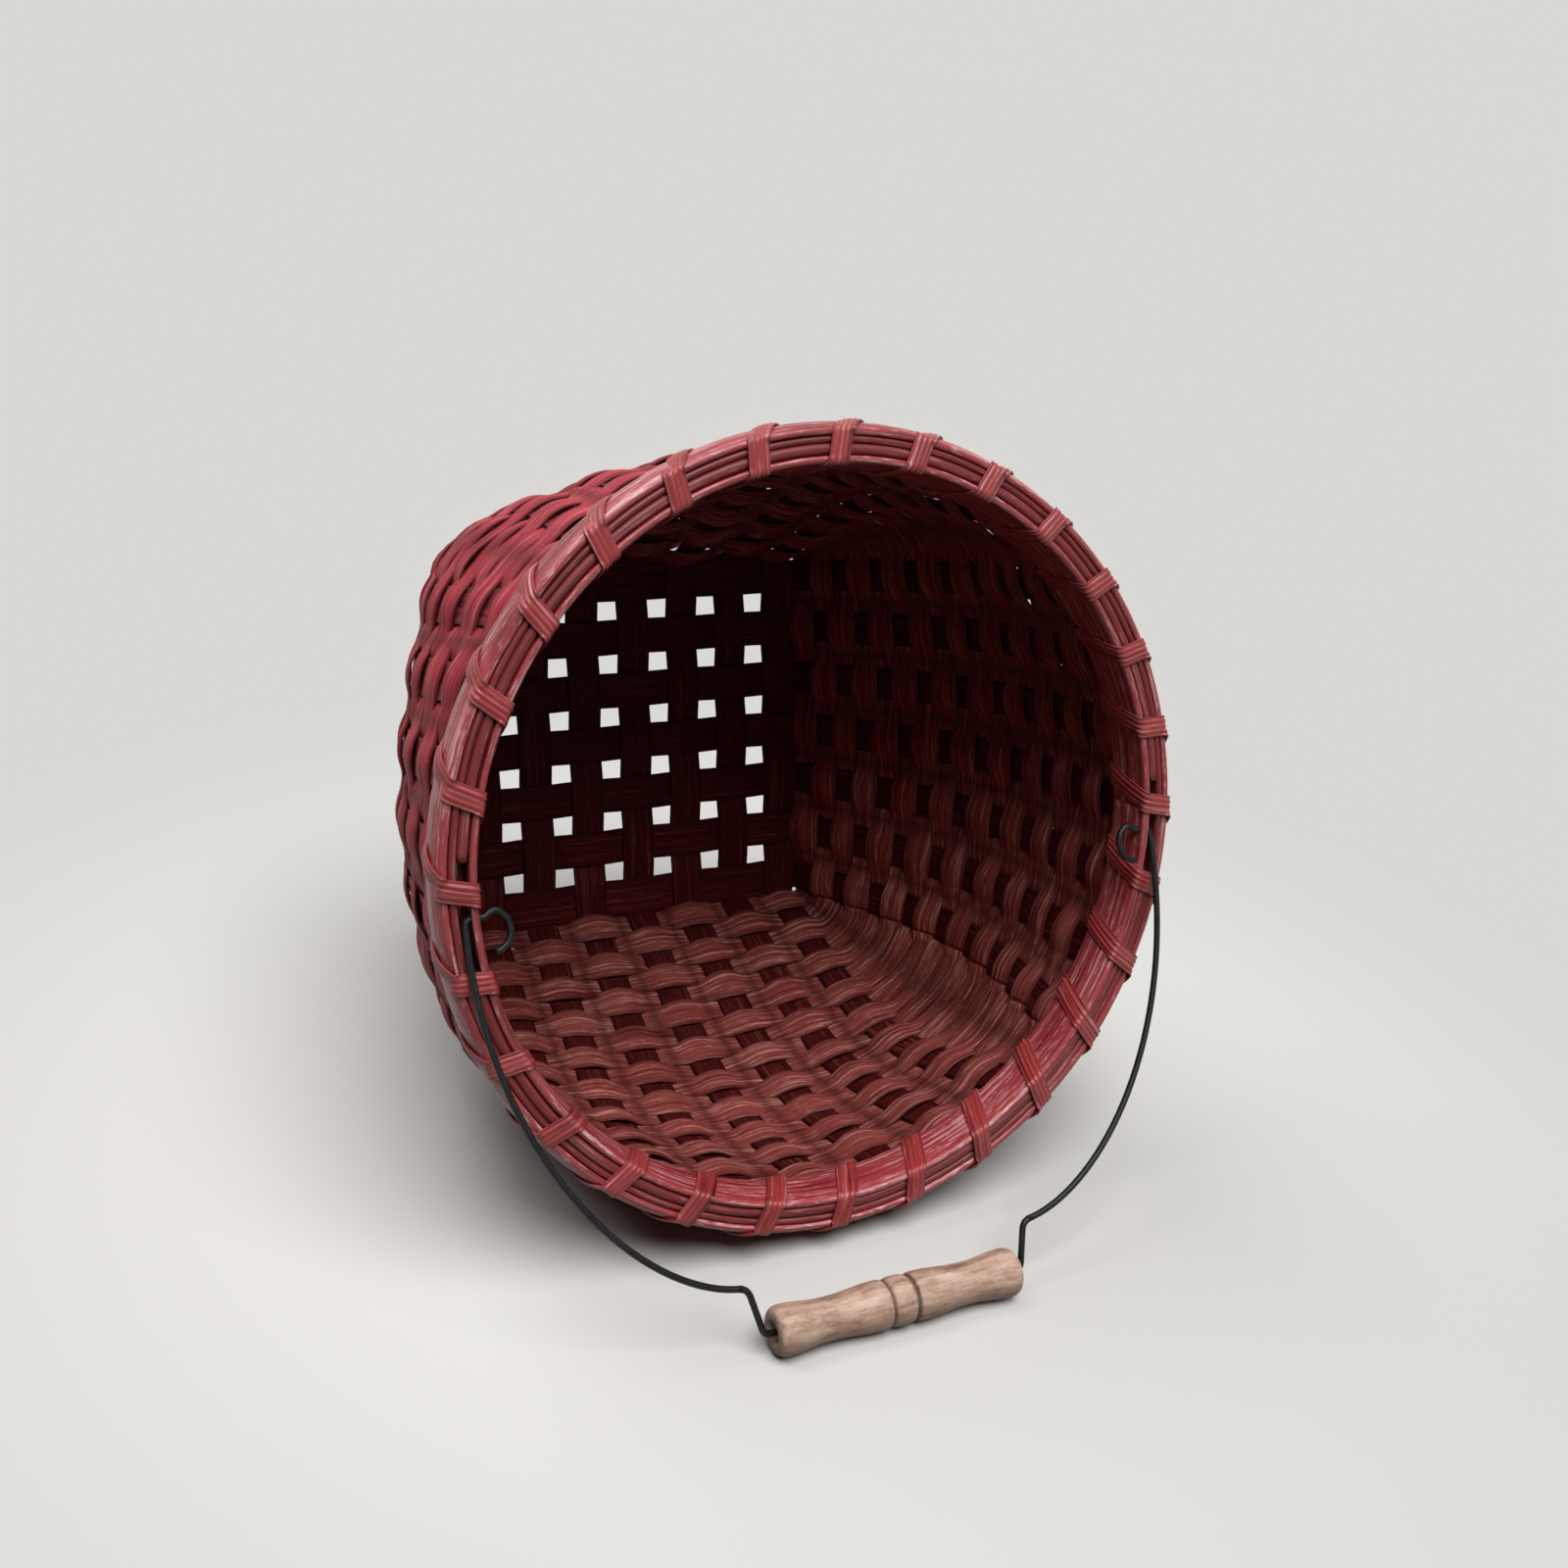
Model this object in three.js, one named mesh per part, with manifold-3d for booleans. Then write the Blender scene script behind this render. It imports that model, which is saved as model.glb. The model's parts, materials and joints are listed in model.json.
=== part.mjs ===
import * as THREE from 'three';
import * as BufferGeometryUtils from 'three/addons/utils/BufferGeometryUtils.js';
import Module from 'manifold-3d';

// A hand-woven clothespin basket of flat reed, stained red, lying on its side with its
// wire bail let down in front of the mouth. Millimetres, +Z up, the mouth facing -Y.
// The basket is built upright, with its base on z = 0, and laid down at the end.

// Base: two sets of flat stakes in an open plain weave
const stakesPerSide = 7;
const stakePitch = 24.8;
const stakeWidth = 14.6;
const stakeThickness = 1.1;
const stakeBend = 2.2;

// Wall: rings of weaver round the turned-up stakes
const weaverThickness = 1;
const weaverRows = 18;
const rowGap = 0.3;
const baseToFirstRow = 2.2;
const weaveClearance = 0.35;
const edgeClearance = 0.2;

// The wall bows out between the square base and the round rim, which leans and sags a little
const rightBow = 24;
const topBow = 20;
const leftBow = 23;
const bottomBow = 25.5;
const bowRise = 0.87;
const wallKnots = 16;
const rimLean = THREE.MathUtils.degToRad(1.2);
const rimSag = 6.8;
const headInset = 1.1;

// Rim: two bands that clamp the wall, filler strands on top and a lashing round it all
const rimHeight = 205.8;
const rimOuterRadius = 151.2;
const rimFlare = THREE.MathUtils.degToRad(7);
const rimSegments = 56;
const bandThickness = 2.6;
const bandDepth = 19.2;
const innerFillerWidth = 3.9;
const outerFillerWidth = 2.4;
const fillerDepth = 6;
const fillerInset = 0.6;
const fillerClearance = 0.3;
const lashWidth = 8.6;
const lashThickness = 0.8;
const lashClearance = 0.25;
const lashLead = THREE.MathUtils.degToRad(4.1);
const lashSlant = THREE.MathUtils.degToRad(1.2);

// Bail: one black wire whose ends pass through the inner band and curl into open eyes
const wireDiameter = 2.8;
const wireSides = 6;
const eyeBoreClearance = 0.4;
const eyeDrop = 10.1;
const eyeLand = 0.5;
const eyeGap = 20;
const eyeRadius = 7.4;
const eyeCorner = 3;
const bailReach = 159.5;
const shoulderReach = 142;
const crookInset = 4;
const crookBend = 5;

// Turned wooden grip that spins on the wire
const gripLength = 102;
const gripDiameter = 18.4;
const gripWaistDiameter = 15.6;
const gripBeadLength = 10;
const gripGrooveDepth = 1.2;
const gripBoreClearance = 0.5;
const gripFacets = 18;

// Grams per cubic centimetre, for the way it lies
const reedDensity = 0.5;
const gripDensity = 0.65;
const wireDensity = 7.85;

const redReed = () => new THREE.MeshStandardMaterial({ color: 0x8e2f35, roughness: 0.55, metalness: 0 });
const blackWire = () => new THREE.MeshStandardMaterial({ color: 0x15161a, roughness: 0.35, metalness: 0.6 });
const turnedWood = () => new THREE.MeshStandardMaterial({ color: 0xc49a78, roughness: 0.6, metalness: 0 });

const uprights = 4 * stakesPerSide;
const uprightStep = (2 * Math.PI) / uprights;
const middleStake = (stakesPerSide - 1) / 2;
const baseHalf = middleStake * stakePitch + stakeWidth / 2 + edgeClearance + stakeBend;
const baseLift = (stakeThickness + weaveClearance) / 2;
const weaveOffset = (stakeThickness + weaverThickness) / 2 + weaveClearance;
const rimGap = innerFillerWidth + outerFillerWidth + 3 * fillerClearance;
const rimMiddleRadius = rimOuterRadius - bandThickness - rimGap / 2;
const lashStandoff = lashClearance + lashThickness / 2;

// Solids: lofts of equal rings

function volumeOf(positions, indices) {
  let sum = 0;
  for (let i = 0; i < indices.length; i += 3) {
    const a = positions[indices[i]];
    const b = positions[indices[i + 1]];
    const c = positions[indices[i + 2]];
    sum += a.dot(new THREE.Vector3().crossVectors(b, c));
  }
  return sum / 6;
}

// Rings of equal length become one closed body, as a ring or with flat ends. Opposite faces
// share the slant of their diagonals, so a twisted strip keeps its thickness.
function loft(rings, closed) {
  const side = rings[0].length;
  const positions = rings.flat();
  const indices = [];
  const spans = closed ? rings.length : rings.length - 1;
  for (let i = 0; i < spans; i += 1) {
    const here = i * side;
    const next = ((i + 1) % rings.length) * side;
    for (let j = 0; j < side; j += 1) {
      const k = (j + 1) % side;
      if (j < side / 2) {
        indices.push(here + j, here + k, next + k, here + j, next + k, next + j);
      } else {
        indices.push(here + j, here + k, next + j, here + k, next + k, next + j);
      }
    }
  }
  if (!closed) {
    const last = (rings.length - 1) * side;
    for (let j = 1; j < side - 1; j += 1) {
      indices.push(0, j + 1, j, last, last + j, last + j + 1);
    }
  }
  if (volumeOf(positions, indices) < 0) {
    indices.reverse();
  }
  const geometry = new THREE.BufferGeometry();
  geometry.setAttribute('position', new THREE.Float32BufferAttribute(positions.flatMap((p) => p.toArray()), 3));
  geometry.setIndex(indices);
  return geometry;
}

// A flat strip: each station has a centre, a normal to the flat face and the way across
function stripRing({ centre, normal, across }, width, thickness) {
  const corners = [[-1, -1], [1, -1], [1, 1], [-1, 1]];
  return corners.map(([a, b]) => centre.clone()
    .addScaledVector(across, (a * width) / 2)
    .addScaledVector(normal, (b * thickness) / 2));
}

// The wall: every upright runs from the side of the base to its place on the rim

function uprightFoot(u) {
  const side = Math.floor(u / stakesPerSide);
  const along = ((u % stakesPerSide) - middleStake) * stakePitch;
  const foot = new THREE.Vector3(baseHalf, along, 0);
  return foot.applyAxisAngle(new THREE.Vector3(0, 0, 1), (side * Math.PI) / 2);
}

function uprightAzimuth(u) {
  return (u - middleStake) * uprightStep - rimLean;
}

function uprightHead(u) {
  const azimuth = uprightAzimuth(u);
  const head = new THREE.Vector3(Math.cos(azimuth), Math.sin(azimuth), 0);
  return head.multiplyScalar(rimMiddleRadius - headInset).add(new THREE.Vector3(0, -rimSag, rimHeight));
}

function sideAzimuth(u) {
  return Math.floor(u / stakesPerSide) * (Math.PI / 2);
}

// How far the wall bows out of the straight line from foot to head
function bowAt(u, share) {
  const bow = [rightBow, topBow, leftBow, bottomBow][Math.floor(u / stakesPerSide)];
  return bow * Math.sin(Math.PI * share ** bowRise) ** 1.5;
}

function knotPoint(u, knot) {
  const share = knot / wallKnots;
  const bow = new THREE.Vector3(bowAt(u, share), 0, 0);
  bow.applyAxisAngle(new THREE.Vector3(0, 0, 1), sideAzimuth(u));
  return uprightFoot(u).lerp(uprightHead(u), share).add(bow);
}

// Every upright is straight between evenly spaced knots
const knotPoints = [];
const knotLengths = [];
for (let u = 0; u < uprights; u += 1) {
  knotPoints.push([knotPoint(u, 0)]);
  knotLengths.push([0]);
  for (let knot = 1; knot <= wallKnots; knot += 1) {
    knotPoints[u].push(knotPoint(u, knot));
    knotLengths[u].push(knotLengths[u][knot - 1] + knotPoints[u][knot].distanceTo(knotPoints[u][knot - 1]));
  }
}

function knotBelow(height) {
  return THREE.MathUtils.clamp(Math.floor((height / rimHeight) * wallKnots), 0, wallKnots - 1);
}

function wallPoint(u, height) {
  const knot = knotBelow(height);
  const share = (height / rimHeight) * wallKnots - knot;
  return knotPoints[u][knot].clone().lerp(knotPoints[u][knot + 1], share);
}

// Length up the wall from the foot of an upright to a height, and the other way about
function lengthAt(u, height) {
  const knot = knotBelow(height);
  const share = (height / rimHeight) * wallKnots - knot;
  return THREE.MathUtils.lerp(knotLengths[u][knot], knotLengths[u][knot + 1], share);
}

function heightAt(u, length) {
  const above = knotLengths[u].findIndex((knotLength) => knotLength > length);
  const share = (length - knotLengths[u][above - 1]) / (knotLengths[u][above] - knotLengths[u][above - 1]);
  return ((above - 1 + share) * rimHeight) / wallKnots;
}

// The flat face of an upright turns from its side of the base to the rim's own tangent
function wallFrame(u, height) {
  const share = THREE.MathUtils.clamp(height / rimHeight, 0, 1);
  const turn = THREE.MathUtils.lerp(sideAzimuth(u), uprightAzimuth(u), share);
  const outward = new THREE.Vector3(Math.cos(turn), Math.sin(turn), 0);
  const tangent = new THREE.Vector3(-Math.sin(turn), Math.cos(turn), 0);
  const probe = rimHeight / wallKnots / 2;
  const middle = THREE.MathUtils.clamp(height, probe, rimHeight - probe);
  const rise = wallPoint(u, middle + probe).sub(wallPoint(u, middle - probe));
  rise.addScaledVector(tangent, -rise.dot(tangent)).normalize();
  const normal = new THREE.Vector3().crossVectors(tangent, rise);
  return { outward, tangent, rise, normal };
}

// The rows share the wall evenly from near the base to the lashing, and the weavers are as wide as
// the closest rows leave room for. One more row lies between the bands, halfway from the lashing to
// the tops of the stakes.
const lashHeight = rimHeight - (bandDepth + lashStandoff) * Math.cos(rimFlare);
const lashHalfRoom = (lashThickness / 2 + 1.5 * lashClearance) * Math.cos(rimFlare);
const rowPitches = knotLengths.map((unused, u) => (
  (lengthAt(u, lashHeight - lashHalfRoom) - baseToFirstRow) / weaverRows
));
const weaverWidth = Math.min(...rowPitches) - rowGap;
const stakeTop = rimHeight - (fillerInset + fillerDepth + fillerClearance) * Math.cos(rimFlare);

function rowLength(u, row) {
  if (row === weaverRows) {
    return (lengthAt(u, lashHeight + lashHalfRoom) + lengthAt(u, stakeTop)) / 2;
  }
  return baseToFirstRow + (row + 0.5) * rowPitches[u];
}

// Stakes: across the base, over and under by turns, and up both walls

function wallStations(u, lift) {
  const heights = [lift + stakeBend];
  for (let knot = 1; knot < wallKnots; knot += 1) {
    heights.push((knot * rimHeight) / wallKnots);
  }
  heights.push(stakeTop);
  return heights.map((height) => {
    const { tangent, normal } = wallFrame(u, height);
    return { centre: wallPoint(u, height), normal, across: tangent };
  });
}

function bendStation(u, lift) {
  const { outward, tangent, normal } = wallFrame(u, 0);
  const centre = uprightFoot(u).addScaledVector(outward, -0.25 * stakeBend);
  centre.z = lift + 0.25 * stakeBend;
  const down = new THREE.Vector3(0, 0, -1);
  return { centre, normal: normal.clone().add(down).normalize(), across: tangent };
}

// overFirst says whether the stake passes inside at its first crossing
function stake(startUpright, endUpright, overFirst) {
  const start = uprightFoot(startUpright);
  const frame = wallFrame(startUpright, 0);
  const liftAt = (crossing) => ((crossing % 2 === 0) === overFirst ? baseLift : -baseLift);
  const firstLift = liftAt(0);
  const lastLift = liftAt(stakesPerSide - 1);
  const stations = wallStations(startUpright, firstLift).reverse();
  stations.push(bendStation(startUpright, firstLift));
  for (const station of stations) {
    station.across = station.across.clone().negate();
  }
  const down = new THREE.Vector3(0, 0, -1);
  const across = frame.tangent.clone().negate();
  for (let crossing = 0; crossing < stakesPerSide; crossing += 1) {
    for (const edge of [1, -1]) {
      const reach = (middleStake - crossing) * stakePitch + edge * (stakeWidth / 2 + edgeClearance);
      const centre = start.clone().addScaledVector(frame.outward, reach - baseHalf);
      centre.z = liftAt(crossing);
      stations.push({ centre, normal: down, across });
    }
  }
  stations.push(bendStation(endUpright, lastLift), ...wallStations(endUpright, lastLift));
  return loft(stations.map((station) => stripRing(station, stakeWidth, stakeThickness)), false);
}

// Weavers: inside one upright and outside the next, flat where they cross it

// A place on a float beside an upright, turned with the upright's own face
function floatStation(u, row, along, offset) {
  const length = rowLength(u, row);
  const [low, high] = [-weaverWidth / 2, weaverWidth / 2].map((step) => {
    const height = heightAt(u, length + step);
    const { tangent, normal } = wallFrame(u, height);
    return wallPoint(u, height).addScaledVector(tangent, along).addScaledVector(normal, offset);
  });
  const { tangent, outward } = wallFrame(u, heightAt(u, length));
  const across = high.clone().sub(low).normalize();
  const normal = new THREE.Vector3().crossVectors(tangent, across).normalize();
  return { centre: low.lerp(high, 0.5), normal, across, tangent, outward };
}

// Between the last upright of a side and the first of the next the weaver rounds the corner
function cornerStations(u, row, offset) {
  const reach = stakeWidth / 2 + edgeClearance;
  const from = floatStation(u, row, reach, 0);
  const to = floatStation((u + 1) % uprights, row, -reach, 0);
  const gap = to.centre.clone().sub(from.centre);
  const share = gap.dot(to.outward) / from.tangent.dot(to.outward);
  const corner = from.centre.clone().addScaledVector(from.tangent, share);
  corner.z = (from.centre.z + to.centre.z) / 2;
  const curve = new THREE.QuadraticBezierCurve3(from.centre, corner, to.centre);
  return [1 / 3, 2 / 3].map((step) => {
    const across = from.across.clone().lerp(to.across, step).normalize();
    const normal = new THREE.Vector3().crossVectors(curve.getTangent(step), across).normalize();
    const centre = curve.getPoint(step).addScaledVector(normal, offset * (1 - 2 * step));
    return { centre, normal, across };
  });
}

function weaver(row) {
  const stations = [];
  for (let u = 0; u < uprights; u += 1) {
    const inside = (u + row) % 2 === 1;
    const offset = inside ? -weaveOffset : weaveOffset;
    for (const edge of [-1, 1]) {
      stations.push(floatStation(u, row, edge * (stakeWidth / 2 + edgeClearance), offset));
    }
    if ((u + 1) % stakesPerSide === 0) {
      stations.push(...cornerStations(u, row, offset));
    }
  }
  return loft(stations.map((station) => stripRing(station, weaverWidth, weaverThickness)), true);
}

// Rim: everything on it is placed in a flared section, out from the middle and up from the top edge

function rimPoint(azimuth, out, up) {
  const facet = (2 * Math.PI) / rimSegments;
  const offFacet = azimuth - (Math.floor(azimuth / facet) + 0.5) * facet;
  const chord = Math.cos(facet / 2) / Math.cos(offFacet);
  const radius = (rimMiddleRadius + out * Math.cos(rimFlare) + up * Math.sin(rimFlare)) * chord;
  const height = rimHeight - out * Math.sin(rimFlare) + up * Math.cos(rimFlare);
  return new THREE.Vector3(radius * Math.cos(azimuth), radius * Math.sin(azimuth) - rimSag, height);
}

function rimDirection(azimuth, out, up) {
  const flat = out * Math.cos(rimFlare) + up * Math.sin(rimFlare);
  const rise = up * Math.cos(rimFlare) - out * Math.sin(rimFlare);
  return new THREE.Vector3(flat * Math.cos(azimuth), flat * Math.sin(azimuth), rise);
}

// A rim strand from one azimuth to another, or all the way round, with its corners eased
function rimStrand(out, width, top, depth, from, to) {
  const closed = from === undefined;
  const ease = width / 4;
  const section = [
    [out - width / 2, top - depth],
    [out + width / 2, top - depth],
    [out + width / 2, top - ease],
    [out, top],
    [out - width / 2, top - ease],
  ];
  const azimuths = [];
  const facet = (2 * Math.PI) / rimSegments;
  if (closed) {
    for (let i = 0; i < rimSegments; i += 1) {
      azimuths.push(i * facet);
    }
  } else {
    azimuths.push(from);
    for (let i = Math.floor(from / facet) + 1; i * facet < to; i += 1) {
      azimuths.push(i * facet);
    }
    azimuths.push(to);
  }
  return loft(azimuths.map((azimuth) => section.map(([x, y]) => rimPoint(azimuth, x, y))), closed);
}

const bandOut = (rimGap + bandThickness) / 2;
const innerFillerOut = -rimGap / 2 + fillerClearance + innerFillerWidth / 2;
const outerFillerOut = rimGap / 2 - fillerClearance - outerFillerWidth / 2;

// The lashing is one strand: down between the uprights, under the bands and up over the top
function lashing() {
  const out = rimGap / 2 + bandThickness + lashStandoff;
  const above = lashStandoff;
  const below = -bandDepth - lashStandoff;
  const thirds = [1 / 3, 2 / 3];
  const stations = [];
  for (let turn = uprights - 1; turn >= 0; turn -= 1) {
    const head = turn * uprightStep + lashSlant / 2;
    const shoulder = head - lashSlant;
    const next = head + lashLead - uprightStep;
    stations.push([head + lashLead, -out, below, -1, -1]);
    stations.push([head, -out, above, -1, 1]);
    stations.push([shoulder, out, above, 1, 1]);
    for (const share of thirds) {
      const azimuth = THREE.MathUtils.lerp(shoulder, next + lashSlant, share);
      stations.push([azimuth, out, THREE.MathUtils.lerp(above, below, share), 1, 0]);
    }
    stations.push([next + lashSlant, out, below, 1, -1]);
  }
  return loft(stations.map(([azimuth, x, y, outward, upward]) => {
    const thickness = lashThickness * Math.hypot(outward, upward);
    return stripRing({
      centre: rimPoint(azimuth, x, y),
      normal: rimDirection(azimuth, outward, upward).normalize(),
      across: new THREE.Vector3(-Math.sin(azimuth), Math.cos(azimuth), 0),
    }, lashWidth, thickness);
  }), true);
}

// Bail: the wire lies in one plane, x along the hinge line and reach away from it

const eyeDepth = wireDiameter / 2 + eyeBoreClearance + eyeLand;
const hingeSide = -rimSag - eyeDrop;
const hingeHeight = rimHeight - eyeDepth;
const wireSeat = rimMiddleRadius + innerFillerOut - eyeDepth * Math.sin(rimFlare);
const armX = Math.sqrt(wireSeat ** 2 - eyeDrop ** 2);
const gripEndX = gripLength / 2 + wireDiameter + 0.7;
const crookX = gripEndX + crookInset;

// Rounds the corner at b between a and c
function roundCorner(a, b, c, radius, steps) {
  const inDirection = b.clone().sub(a).normalize();
  const outDirection = c.clone().sub(b).normalize();
  const turn = Math.acos(THREE.MathUtils.clamp(inDirection.dot(outDirection), -1, 1));
  const setback = radius * Math.tan(turn / 2);
  const start = b.clone().addScaledVector(inDirection, -setback);
  const end = b.clone().addScaledVector(outDirection, setback);
  return new THREE.QuadraticBezierCurve(start, b, end).getPoints(steps);
}

function halfWire() {
  const through = new THREE.Vector2(armX - innerFillerWidth / 2 - bandThickness - wireDiameter, 0);
  const eye = new THREE.Vector2(through.x - wireDiameter / 2, eyeRadius - wireDiameter);
  const points = [];
  for (let i = 8; i >= 0; i -= 1) {
    const angle = THREE.MathUtils.degToRad(THREE.MathUtils.lerp(20, 170, i / 8));
    points.push(new THREE.Vector2(
      eye.x - eyeRadius * Math.sin(angle),
      eye.y - eyeRadius * Math.cos(angle),
    ));
  }
  const corner = new THREE.Vector2(armX, 0);
  const armFoot = new THREE.Vector2(armX, 3 * wireDiameter);
  points.push(through, ...roundCorner(through, corner, armFoot, eyeCorner, 4));
  for (let i = 0; i < 12; i += 1) {
    const angle = (i * Math.PI) / 24;
    points.push(new THREE.Vector2(
      crookX + (armX - crookX) * Math.cos(angle) ** 1.176,
      armFoot.y + (shoulderReach - armFoot.y) * Math.sin(angle),
    ));
  }
  const shoulder = points[points.length - 1];
  const crook = new THREE.Vector2(crookX, shoulderReach);
  const gripCorner = new THREE.Vector2(gripEndX, bailReach);
  const middle = new THREE.Vector2(0, bailReach);
  points.push(...roundCorner(shoulder, crook, gripCorner, crookBend, 4));
  points.push(...roundCorner(crook, gripCorner, middle, eyeCorner, 4));
  return points;
}

function bailWire() {
  const half = halfWire();
  const mirrored = half.slice().reverse().map((p) => new THREE.Vector2(-p.x, p.y));
  const path = half.concat(mirrored);
  const rings = path.map((point, i) => {
    const before = path[Math.max(i - 1, 0)];
    const after = path[Math.min(i + 1, path.length - 1)];
    const along = after.clone().sub(before).normalize();
    return Array.from({ length: wireSides }, (unused, side) => {
      const angle = ((side + 0.5) * 2 * Math.PI) / wireSides;
      const inPlane = (Math.cos(angle) * wireDiameter) / 2;
      const outOfPlane = (Math.sin(angle) * wireDiameter) / 2;
      return new THREE.Vector3(point.x - along.y * inPlane, -point.y - along.x * inPlane, outOfPlane);
    });
  });
  return loft(rings, false);
}

// Grip: rounded ends, a waist on each side and a bead between two grooves, bored for the wire
function grip() {
  const end = gripDiameter / 2;
  const waist = gripWaistDiameter / 2;
  const bore = (wireDiameter + gripBoreClearance) / 2;
  const bead = gripBeadLength / 2;
  const length = gripLength / 2;
  const swell = length - end;
  const halfProfile = [
    [end, 0],
    [end - 0.3, bead - 1],
    [end - 0.3 - gripGrooveDepth, bead],
    [end - 0.2, bead + 1.2],
    [(end + waist) / 2, THREE.MathUtils.lerp(bead, swell, 0.35)],
    [waist, THREE.MathUtils.lerp(bead, swell, 0.65)],
    [(end + waist) / 2, THREE.MathUtils.lerp(bead, swell, 0.92)],
    [end, length - 3],
    [end - 1, length - 0.8],
    [end - 2.5, length],
    [bore + 1.5, length],
    [bore, length - 1.5],
  ];
  const mirrored = halfProfile.slice(1).reverse().map(([radius, x]) => [radius, -x]);
  const profile = mirrored.concat(halfProfile);
  profile.push(profile[0]);
  const geometry = new THREE.LatheGeometry(profile.map(([radius, x]) => new THREE.Vector2(radius, x)), gripFacets);
  geometry.rotateZ(-Math.PI / 2);
  return geometry;
}

// Bores cut with booleans

const wasm = await Module();
wasm.setup();

function toManifold(geometry) {
  const bare = geometry.clone();
  bare.deleteAttribute('normal');
  bare.deleteAttribute('uv');
  const merged = BufferGeometryUtils.mergeVertices(bare);
  return new wasm.Manifold(new wasm.Mesh({
    numProp: 3,
    vertProperties: merged.attributes.position.array,
    triVerts: new Uint32Array(merged.index.array),
  }));
}

function fromManifold(solid) {
  const mesh = solid.getMesh();
  const geometry = new THREE.BufferGeometry();
  geometry.setAttribute('position', new THREE.Float32BufferAttribute(mesh.vertProperties, 3));
  geometry.setIndex([...mesh.triVerts]);
  return geometry;
}

function boredInnerBand() {
  const band = rimStrand(-bandOut, bandThickness, 0, bandDepth);
  const bore = new THREE.CylinderGeometry(
    wireDiameter / 2 + eyeBoreClearance,
    wireDiameter / 2 + eyeBoreClearance,
    2 * rimOuterRadius,
    10,
  );
  bore.rotateZ(Math.PI / 2);
  bore.translate(0, hingeSide, hingeHeight);
  return fromManifold(toManifold(band).subtract(toManifold(bore)));
}

// Assembly, upright

const basket = new THREE.Group();
const bail = new THREE.Group();
const group = new THREE.Group();
group.add(basket, bail);

function add(parent, name, geometry, material) {
  const mesh = new THREE.Mesh(geometry, material);
  mesh.name = name;
  parent.add(mesh);
  return mesh;
}

// Cross stakes run right to left and long stakes top to bottom, counted from the top and the left
for (let i = 0; i < stakesPerSide; i += 1) {
  const rightUpright = stakesPerSide - 1 - i;
  const leftUpright = 2 * stakesPerSide + i;
  add(basket, `stake_cross_${i + 1}`, stake(rightUpright, leftUpright, i % 2 === 1), redReed());
}
for (let i = 0; i < stakesPerSide; i += 1) {
  const topUpright = 2 * stakesPerSide - 1 - i;
  const bottomUpright = 3 * stakesPerSide + i;
  add(basket, `stake_long_${i + 1}`, stake(topUpright, bottomUpright, i % 2 === 0), redReed());
}
for (let row = 0; row < weaverRows; row += 1) {
  add(basket, `weaver_${String(row + 1).padStart(2, '0')}`, weaver(row), redReed());
}
add(basket, 'rim_row', weaver(weaverRows), redReed());

add(basket, 'rim_band_inner', boredInnerBand(), redReed());
add(basket, 'rim_band_outer', rimStrand(bandOut, bandThickness, 0, bandDepth), redReed());
add(
  basket,
  'rim_filler_outer',
  rimStrand(outerFillerOut, outerFillerWidth, -fillerInset, fillerDepth),
  redReed(),
);
const eyeAzimuth = Math.asin(eyeDrop / wireSeat);
const eyeGapAngle = eyeGap / wireSeat;
const upperFiller = [-eyeAzimuth + eyeGapAngle, Math.PI + eyeAzimuth - eyeGapAngle];
const lowerFiller = [Math.PI + eyeAzimuth + eyeGapAngle, 2 * Math.PI - eyeAzimuth - eyeGapAngle];
add(
  basket,
  'rim_filler_upper',
  rimStrand(innerFillerOut, innerFillerWidth, -fillerInset, fillerDepth, ...upperFiller),
  redReed(),
);
add(
  basket,
  'rim_filler_lower',
  rimStrand(innerFillerOut, innerFillerWidth, -fillerInset, fillerDepth, ...lowerFiller),
  redReed(),
);
add(basket, 'rim_lashing', lashing(), redReed());

add(bail, 'bail_wire', bailWire(), blackWire());
const gripMesh = add(bail, 'bail_grip', grip(), turnedWood());
gripMesh.position.set(0, -bailReach, 0);

// Laying it down: the bail's arms rest on the lashing, and the whole settles where its centre of mass
// is lowest, on the belly of the wall and on the grip

function verticesOf(root) {
  const points = [];
  root.updateMatrixWorld(true);
  root.traverse((node) => {
    if (!node.isMesh) {
      return;
    }
    const { position } = node.geometry.attributes;
    for (let i = 0; i < position.count; i += 1) {
      points.push(new THREE.Vector3().fromBufferAttribute(position, i).applyMatrix4(node.matrixWorld));
    }
  });
  return points;
}

function centreOfMass(root) {
  const sum = new THREE.Vector3();
  let mass = 0;
  root.updateMatrixWorld(true);
  root.traverse((node) => {
    if (!node.isMesh) {
      return;
    }
    const density = { bail_wire: wireDensity, bail_grip: gripDensity }[node.name] ?? reedDensity;
    const { index, attributes } = node.geometry;
    for (let i = 0; i < index.count; i += 3) {
      const [a, b, c] = [0, 1, 2].map((step) => (
        new THREE.Vector3().fromBufferAttribute(attributes.position, index.getX(i + step))
          .applyMatrix4(node.matrixWorld)
      ));
      const volume = a.dot(new THREE.Vector3().crossVectors(b, c)) / 6;
      sum.addScaledVector(a.add(b).add(c), (volume * density) / 4);
      mass += volume * density;
    }
  });
  return sum.divideScalar(mass);
}

function lashStop(spacing) {
  const reach = spacing * wireSeat - lashWidth / 2;
  const height = eyeDepth + lashClearance + lashThickness;
  const clear = wireDiameter / 2 + lashClearance;
  return Math.atan2(height, reach) + Math.asin(clear / Math.hypot(reach, height));
}
bail.position.set(0, hingeSide, hingeHeight);
bail.rotation.x = -lashStop(uprightStep - eyeAzimuth);

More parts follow.
